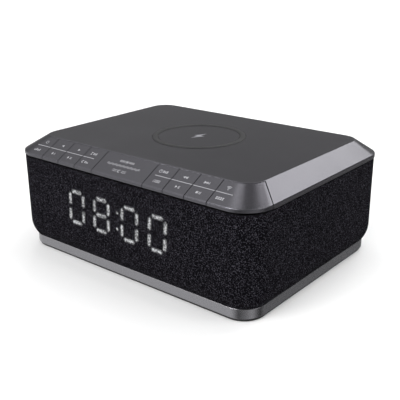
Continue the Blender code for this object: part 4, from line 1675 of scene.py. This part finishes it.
@dataclass
class Base:
    """The plinth with its floor, feet and fixings."""

    outline: Outline = BODY.inset(3.5)
    wall: float = 2.2
    floor: float = 3.5
    bottom: float = 1.5
    top: float = 7.0
    pillars: tuple[Pair, ...] = corners(62.0, 41.0)
    feet: tuple[Pair, ...] = corners(69.0, 49.0)
    posts: tuple[Pair, ...] = tuple((sx * 45.0, y) for sx in (-1, 1) for y in (8.0, 55.0))
    battery: Pair = (-25.0, -22.0)
    boss_radius: float = 5.2
    post_radius: float = 3.0
    peg_radius: float = 1.2
    cover_ring: Pair = (15.6, 13.9)
    cover_bore: float = 12.5
    notch_half: float = 3.2
    screw_bore: float = 1.75
    screw_well: float = 3.4
    foot_radius: float = 6.0
    foot_well: float = 6.3

    def build(self) -> None:
        """Model the tray and the feet."""
        tray = Bench.through("base_plinth", [(self.outline, self.bottom), (self.outline, self.top)], 20)
        Bench.round_edges(tray, at_level(self.bottom), 0.5, 3)
        Bench.round_edges(tray, at_level(self.top), 0.3, 3)
        inner = self.outline.inset(self.wall)
        Bench.cut(tray, Bench.through("inside", [(inner, self.floor), (inner, self.top + 2)], 20))
        self.add_supports(tray)
        self.cut_holes(tray)
        Bench.finish(tray, PALE_SATIN, "cabinet", "satin_grey", ["base_tray"])
        for number, (x, y) in enumerate(self.feet, 1):
            foot = Bench.rod((x, y, 0.0), self.foot_radius, 2.0, steps=40)
            Bench.round_edges(foot, at_level(0.0), 0.45, 3)
            foot.name = f"rubber_foot_{number}"
            Bench.finish(foot, RUBBER, "cabinet", "black_rubber", [f"foot_{number}"])

    def add_supports(self, tray: bpy.types.Object) -> None:
        """Add the screw bosses, the board's posts and pegs, and the ring round the cell.

        Args:
            tray: The tray.
        """
        bosses = Bench.rods(self.pillars, 2.5, self.boss_radius, 6.2)
        Bench.add(tray, *bosses, *Bench.rods(self.posts, 2.5, self.post_radius, 15.8, 20))
        Bench.add(tray, *Bench.rods(self.posts, 15.0, self.peg_radius, 6.6, 16))
        x, y = self.battery
        outer, inner = self.cover_ring
        ring = Bench.rod((x, y, 3.0), outer, 2.0, steps=48)
        Bench.add(tray, Bench.cut(ring, Bench.rod((x, y, 2.0), inner, 5.0, steps=48)))

    def cut_holes(self, tray: bpy.types.Object) -> None:
        """Cut the screw holes, the feet's wells and the cell's opening with its notches.

        Args:
            tray: The tray.
        """
        x, y = self.battery
        bores = Bench.rods(self.pillars, 0.0, self.screw_bore, 12.0, 24)
        wells = Bench.rods(self.feet, 0.0, self.foot_well, 2.3, 40)
        Bench.cut(tray, *bores, *wells, Bench.rod((x, y, 0.0), self.cover_bore, 8.0, steps=56))
        Bench.cut(tray, *Bench.rods(self.pillars, 0.0, self.screw_well, 4.6))
        half = self.notch_half
        notches = [Bench.block((x - half, y + s * 9, 0), (x + half, y + s * 13.7, 8)) for s in (-1, 1)]
        Bench.cut(tray, *notches)


@dataclass
class BackPanel:
    """The panel with the sockets, and the signs printed beside them."""

    half: float = 33.0
    low: float = 18.4
    high: float = 33.6
    inner: float = 64.0
    outer: float = 64.6
    plug_back: float = 62.6
    plug_inset: float = 1.6
    socket_z: float = 26.0
    power_x: float = 24.0
    usb_x: float = 6.0
    audio_x: float = -10.0
    aerial_x: float = -24.0
    power_radius: float = 4.3
    audio_radius: float = 3.5
    aerial_radius: float = 2.0
    usb_half: Pair = (7.0, 3.4)
    signs_above: float = 5.4

    def build(self) -> None:
        """Model the panel with its holes, and print its signs."""
        panel = Bench.block((-self.half, self.inner, self.low), (self.half, self.outer, self.high))
        Bench.round_edges(panel, runs_back, 2.0, 6)
        Bench.round_edges(panel, self.outer_rim, 0.2, 2)
        step = self.plug_inset
        low = (-self.half + step, self.plug_back, self.low + step)
        Bench.add(panel, Bench.block(low, (self.half - step, self.inner + 0.2, self.high - step)))
        z = self.socket_z
        sockets = (
            (self.power_x, self.power_radius),
            (self.audio_x, self.audio_radius),
            (self.aerial_x, self.aerial_radius),
        )
        holes = [Bench.rod((x, 58, z), radius, 10, (0, 1, 0), 40) for x, radius in sockets]
        wide, tall = self.usb_half
        usb = Bench.block((self.usb_x - wide, 58, z - tall), (self.usb_x + wide, 70, z + tall))
        Bench.cut(panel, *holes, usb)
        Bench.cut(panel, Bench.rod((self.aerial_x, 63.9, z), self.aerial_radius + 1, 4.0, (0, 1, 0), 32))
        Bench.tidy(panel)
        Bench.round_edges(panel, lambda edge: sharp(60)(edge) and self.outer_rim(edge), 0.18, 2)
        panel.name = "back_panel"
        Bench.finish(panel, BLACK, "cabinet", "black_plastic", ["rear_panel"])
        self.print_signs()

    def outer_rim(self, edge: bmesh.types.BMEdge) -> bool:
        """Whether an edge lies in the panel's outer face."""
        return all(abs(v.co.y - self.outer * MM) < CLOSE for v in edge.verts)

    def print_signs(self) -> None:
        """Plain signs over the sockets: polarity, cell, sound and aerial."""
        turn = Matrix.Rotation(math.pi / 2, 4, "X") @ Matrix.Rotation(math.pi, 4, "Y")
        height = self.socket_z + self.signs_above
        branches = [(0, 0.0), (-0.95, 0.95), (-0.75, 1.05), (0, 0.3), (0.75, 1.05), (0.95, 0.95)]
        signs = {
            self.power_x: [
                disc(0, 0, 0.35),
                band((0, 0), 0.9, 0.22, -150, 150),
                bar(-2.6, -0.95, -0.1, 0.1),
                bar(0.35, 2.6, -0.1, 0.1),
            ],
            self.usb_x: [
                bar(-1.6, 1.3, 0.62, 0.85),
                bar(-1.6, 1.3, -0.85, -0.62),
                bar(-1.6, -1.37, -0.7, 0.7),
                bar(1.07, 1.3, -0.7, 0.7),
                bar(1.4, 1.75, -0.3, 0.3),
                bar(-1.1, 0.1, -0.4, 0.4),
            ],
            self.audio_x: [
                band((0, -0.2), 0.9, 0.25, -10, 190),
                bar(-1.2, -0.7, -0.9, -0.1),
                bar(0.7, 1.2, -0.9, -0.1),
            ],
            self.aerial_x: [bar(-0.12, 0.12, -1.0, 0.9), branches],
        }
        shapes = []
        for x, outlines in signs.items():
            place = Matrix.Translation(Vector((x, self.outer - INK_SUNK, height)) * MM) @ turn
            shapes += [Bench.shape(outline, INK_DEPTH, place) for outline in outlines]
        Bench.finish(Bench.joined("back_panel_print", shapes), INK, "cabinet", "white_diffuser")


# ----------------------------------------------------------------- camera, light


@dataclass
class Studio:
    """The camera, the pale floor and the soft lights."""

    distance: float = 0.40087
    azimuth: float = 39.76
    elevation: float = 19.96
    roll: float = -0.509
    target_z: float = 0.02997
    focal: float = 60.87
    shift: Pair = (0.0066, -0.0093)
    horizon: float = 0.2
    ceiling: float = 1.35
    overhead: float = 0.06
    walls: tuple[Pair, ...] = (
        (-180, 0.9),
        (-112, 1.2),
        (-76, 0.08),
        (-46, 0.38),
        (-14, 0.85),
        (24, 0.0),
        (54, 0.3),
        (110, 0.3),
        (180, 0.9),
    )
    lamps: tuple[tuple[str, Triple, float, Pair, float], ...] = (
        ("back_top_light", (0.16, 0.78, 0.6), 1.3, (0.9, 0.55), 6.3),
        ("strip_light", (-0.25, 0.08, 0.965), 1.2, (0.12, 0.4), 0.65),
        ("front_light", (-0.16, -0.78, 0.6), 1.8, (1.2, 0.8), 22),
        ("upper_edge_light", (-0.6, 0.46, 0.65), 1.3, (0.22, 0.22), 1.2),
        ("corner_light", (0.03, 0.56, 0.83), 1.3, (0.3, 0.14), 1.0),
        ("right_light", (0.7, 0.15, 0.7), 1.6, (0.9, 0.8), 6.5),
    )

    def place_camera(self) -> None:
        """Stand the camera where the radio is seen from its right front."""
        az, el, roll = (math.radians(a) for a in (self.azimuth, self.elevation, self.roll))
        back = Vector((math.sin(az) * math.cos(el), -math.cos(az) * math.cos(el), math.sin(el)))
        right = Vector((0, 0, 1)).cross(back).normalized()
        up = back.cross(right)
        across = right * math.cos(roll) + up * math.sin(roll)
        upward = up * math.cos(roll) - right * math.sin(roll)
        data = bpy.data.cameras.new("camera")
        data.sensor_width = 36.0
        data.lens = self.focal
        data.shift_x, data.shift_y = self.shift
        data.clip_start = 0.01
        camera = bpy.data.objects.new("camera", data)
        turn = Matrix((across, upward, back)).transposed().to_4x4()
        stand = Vector((0, 0, self.target_z)) + back * self.distance
        camera.matrix_world = Matrix.Translation(stand) @ turn
        bpy.context.scene.collection.objects.link(camera)
        bpy.context.scene.camera = camera

    def softbox(self, name: str, direction: Triple, distance: float, size: Pair, power: float) -> None:
        """One area light, aimed at the radio.

        Args:
            name: The light's name.
            direction: From the radio towards the light.
            distance: How far off it stands, in metres.
            size: Its width and height, in metres.
            power: Its power in watts.
        """
        data = bpy.data.lights.new(name, "AREA")
        data.shape = "RECTANGLE"
        data.size, data.size_y = size
        data.energy = power
        light = bpy.data.objects.new(name, data)
        aim = Vector(direction).normalized()
        light.location = Vector((0, 0, 0.04)) + aim * distance
        light.rotation_euler = aim.to_track_quat("Z", "Y").to_euler()
        bpy.context.scene.collection.objects.link(light)

    def grade_sky(self, tree: bpy.types.NodeTree) -> None:
        """Ring the radio with pale and dark studio walls under a bright ceiling.

        Args:
            tree: The world's nodes.
        """

        def step(kind: str, *inputs: object, **settings: object) -> bpy.types.NodeSocket:
            """Add a node, fill its sockets in order and give its first output.

            Args:
                kind: The node's type.
                *inputs: What its sockets get.
                **settings: Properties to set on it.

            Returns:
                Its first output.
            """
            node = tree.nodes.new(kind)
            for name, value in settings.items():
                setattr(node, name, value)
            for socket, value in zip(node.inputs, inputs):
                if isinstance(value, bpy.types.NodeSocket):
                    tree.links.new(value, socket)
                else:
                    socket.default_value = value
            return node.outputs[0]

        where = tree.nodes.new("ShaderNodeTexCoord").outputs["Generated"]
        x, y, z = step("ShaderNodeSeparateXYZ", where).node.outputs
        bearing = step("ShaderNodeMath", y, x, operation="ARCTAN2")
        walls = step("ShaderNodeValToRGB", step("ShaderNodeMapRange", bearing, -math.pi, math.pi, 0.0, 1.0))
        stops = walls.node.color_ramp.elements
        while len(stops) < len(self.walls):
            stops.new(0.5)
        for stop, (angle, shade) in zip(stops, self.walls):
            stop.position = (angle + 180) / 360
            stop.color = (shade, shade, shade, 1.0)
        rise = step("ShaderNodeMapRange", z, 0.4, 0.88, self.horizon, self.ceiling)
        hole = step("ShaderNodeMapRange", z, 0.885, 0.94, 1.0, self.overhead)
        above = step("ShaderNodeMath", rise, hole, operation="MULTIPLY")
        up = step("ShaderNodeMapRange", z, -0.1, 0.12, 0.0, 1.0)
        down = step("ShaderNodeMath", 1.0, up, operation="SUBTRACT")
        below = step("ShaderNodeMath", walls, down, operation="MULTIPLY")
        shade = step("ShaderNodeMath", above, up, below, operation="MULTIPLY_ADD")
        seen = tree.nodes.new("ShaderNodeLightPath").outputs["Is Camera Ray"]
        plain = step("ShaderNodeMath", shade, seen, operation="MAXIMUM")
        tree.links.new(plain, tree.nodes["Background"].inputs["Strength"])
        tree.nodes["Background"].inputs["Color"].default_value = (1.0, 1.0, 1.0, 1.0)

    def build(self) -> None:
        """Lay the floor and hang the lights."""
        Bench.clear()
        bpy.ops.mesh.primitive_plane_add(size=12.0, location=(0, 0, 0))
        floor = bpy.context.object
        floor.name = "floor"
        floor.data.materials.append(PAPER_SWEEP.material())
        floor.visible_glossy = False
        world = bpy.data.worlds.new("studio")
        world.use_nodes = True
        self.grade_sky(world.node_tree)
        bpy.context.scene.world = world
        bpy.context.scene.view_settings.view_transform = "Standard"
        for lamp in self.lamps:
            self.softbox(*lamp)


def dress_frame() -> None:
    """Give every frame node the finish of its slot."""
    for part in frame["record"]["subparts"]:
        node = bpy.data.objects[part["node"]]
        node.data.materials.clear()
        node.data.materials.append(SLOT_FINISH[part["material_slot"]].material())


def main() -> None:
    """Build the radio's fine shapes in order, with camera and light."""
    logging.basicConfig(level=logging.INFO, format="%(name)s: %(message)s")
    studio = Studio()
    studio.place_camera()
    dress_frame()
    for assembly in (TopCover(), KeyRow(), ClothSleeve(), DisplayGlow(), Base(), BackPanel()):
        log.info("building %s", type(assembly).__name__)
        assembly.build()
    studio.build()


if __name__ == "__main__":
    main()
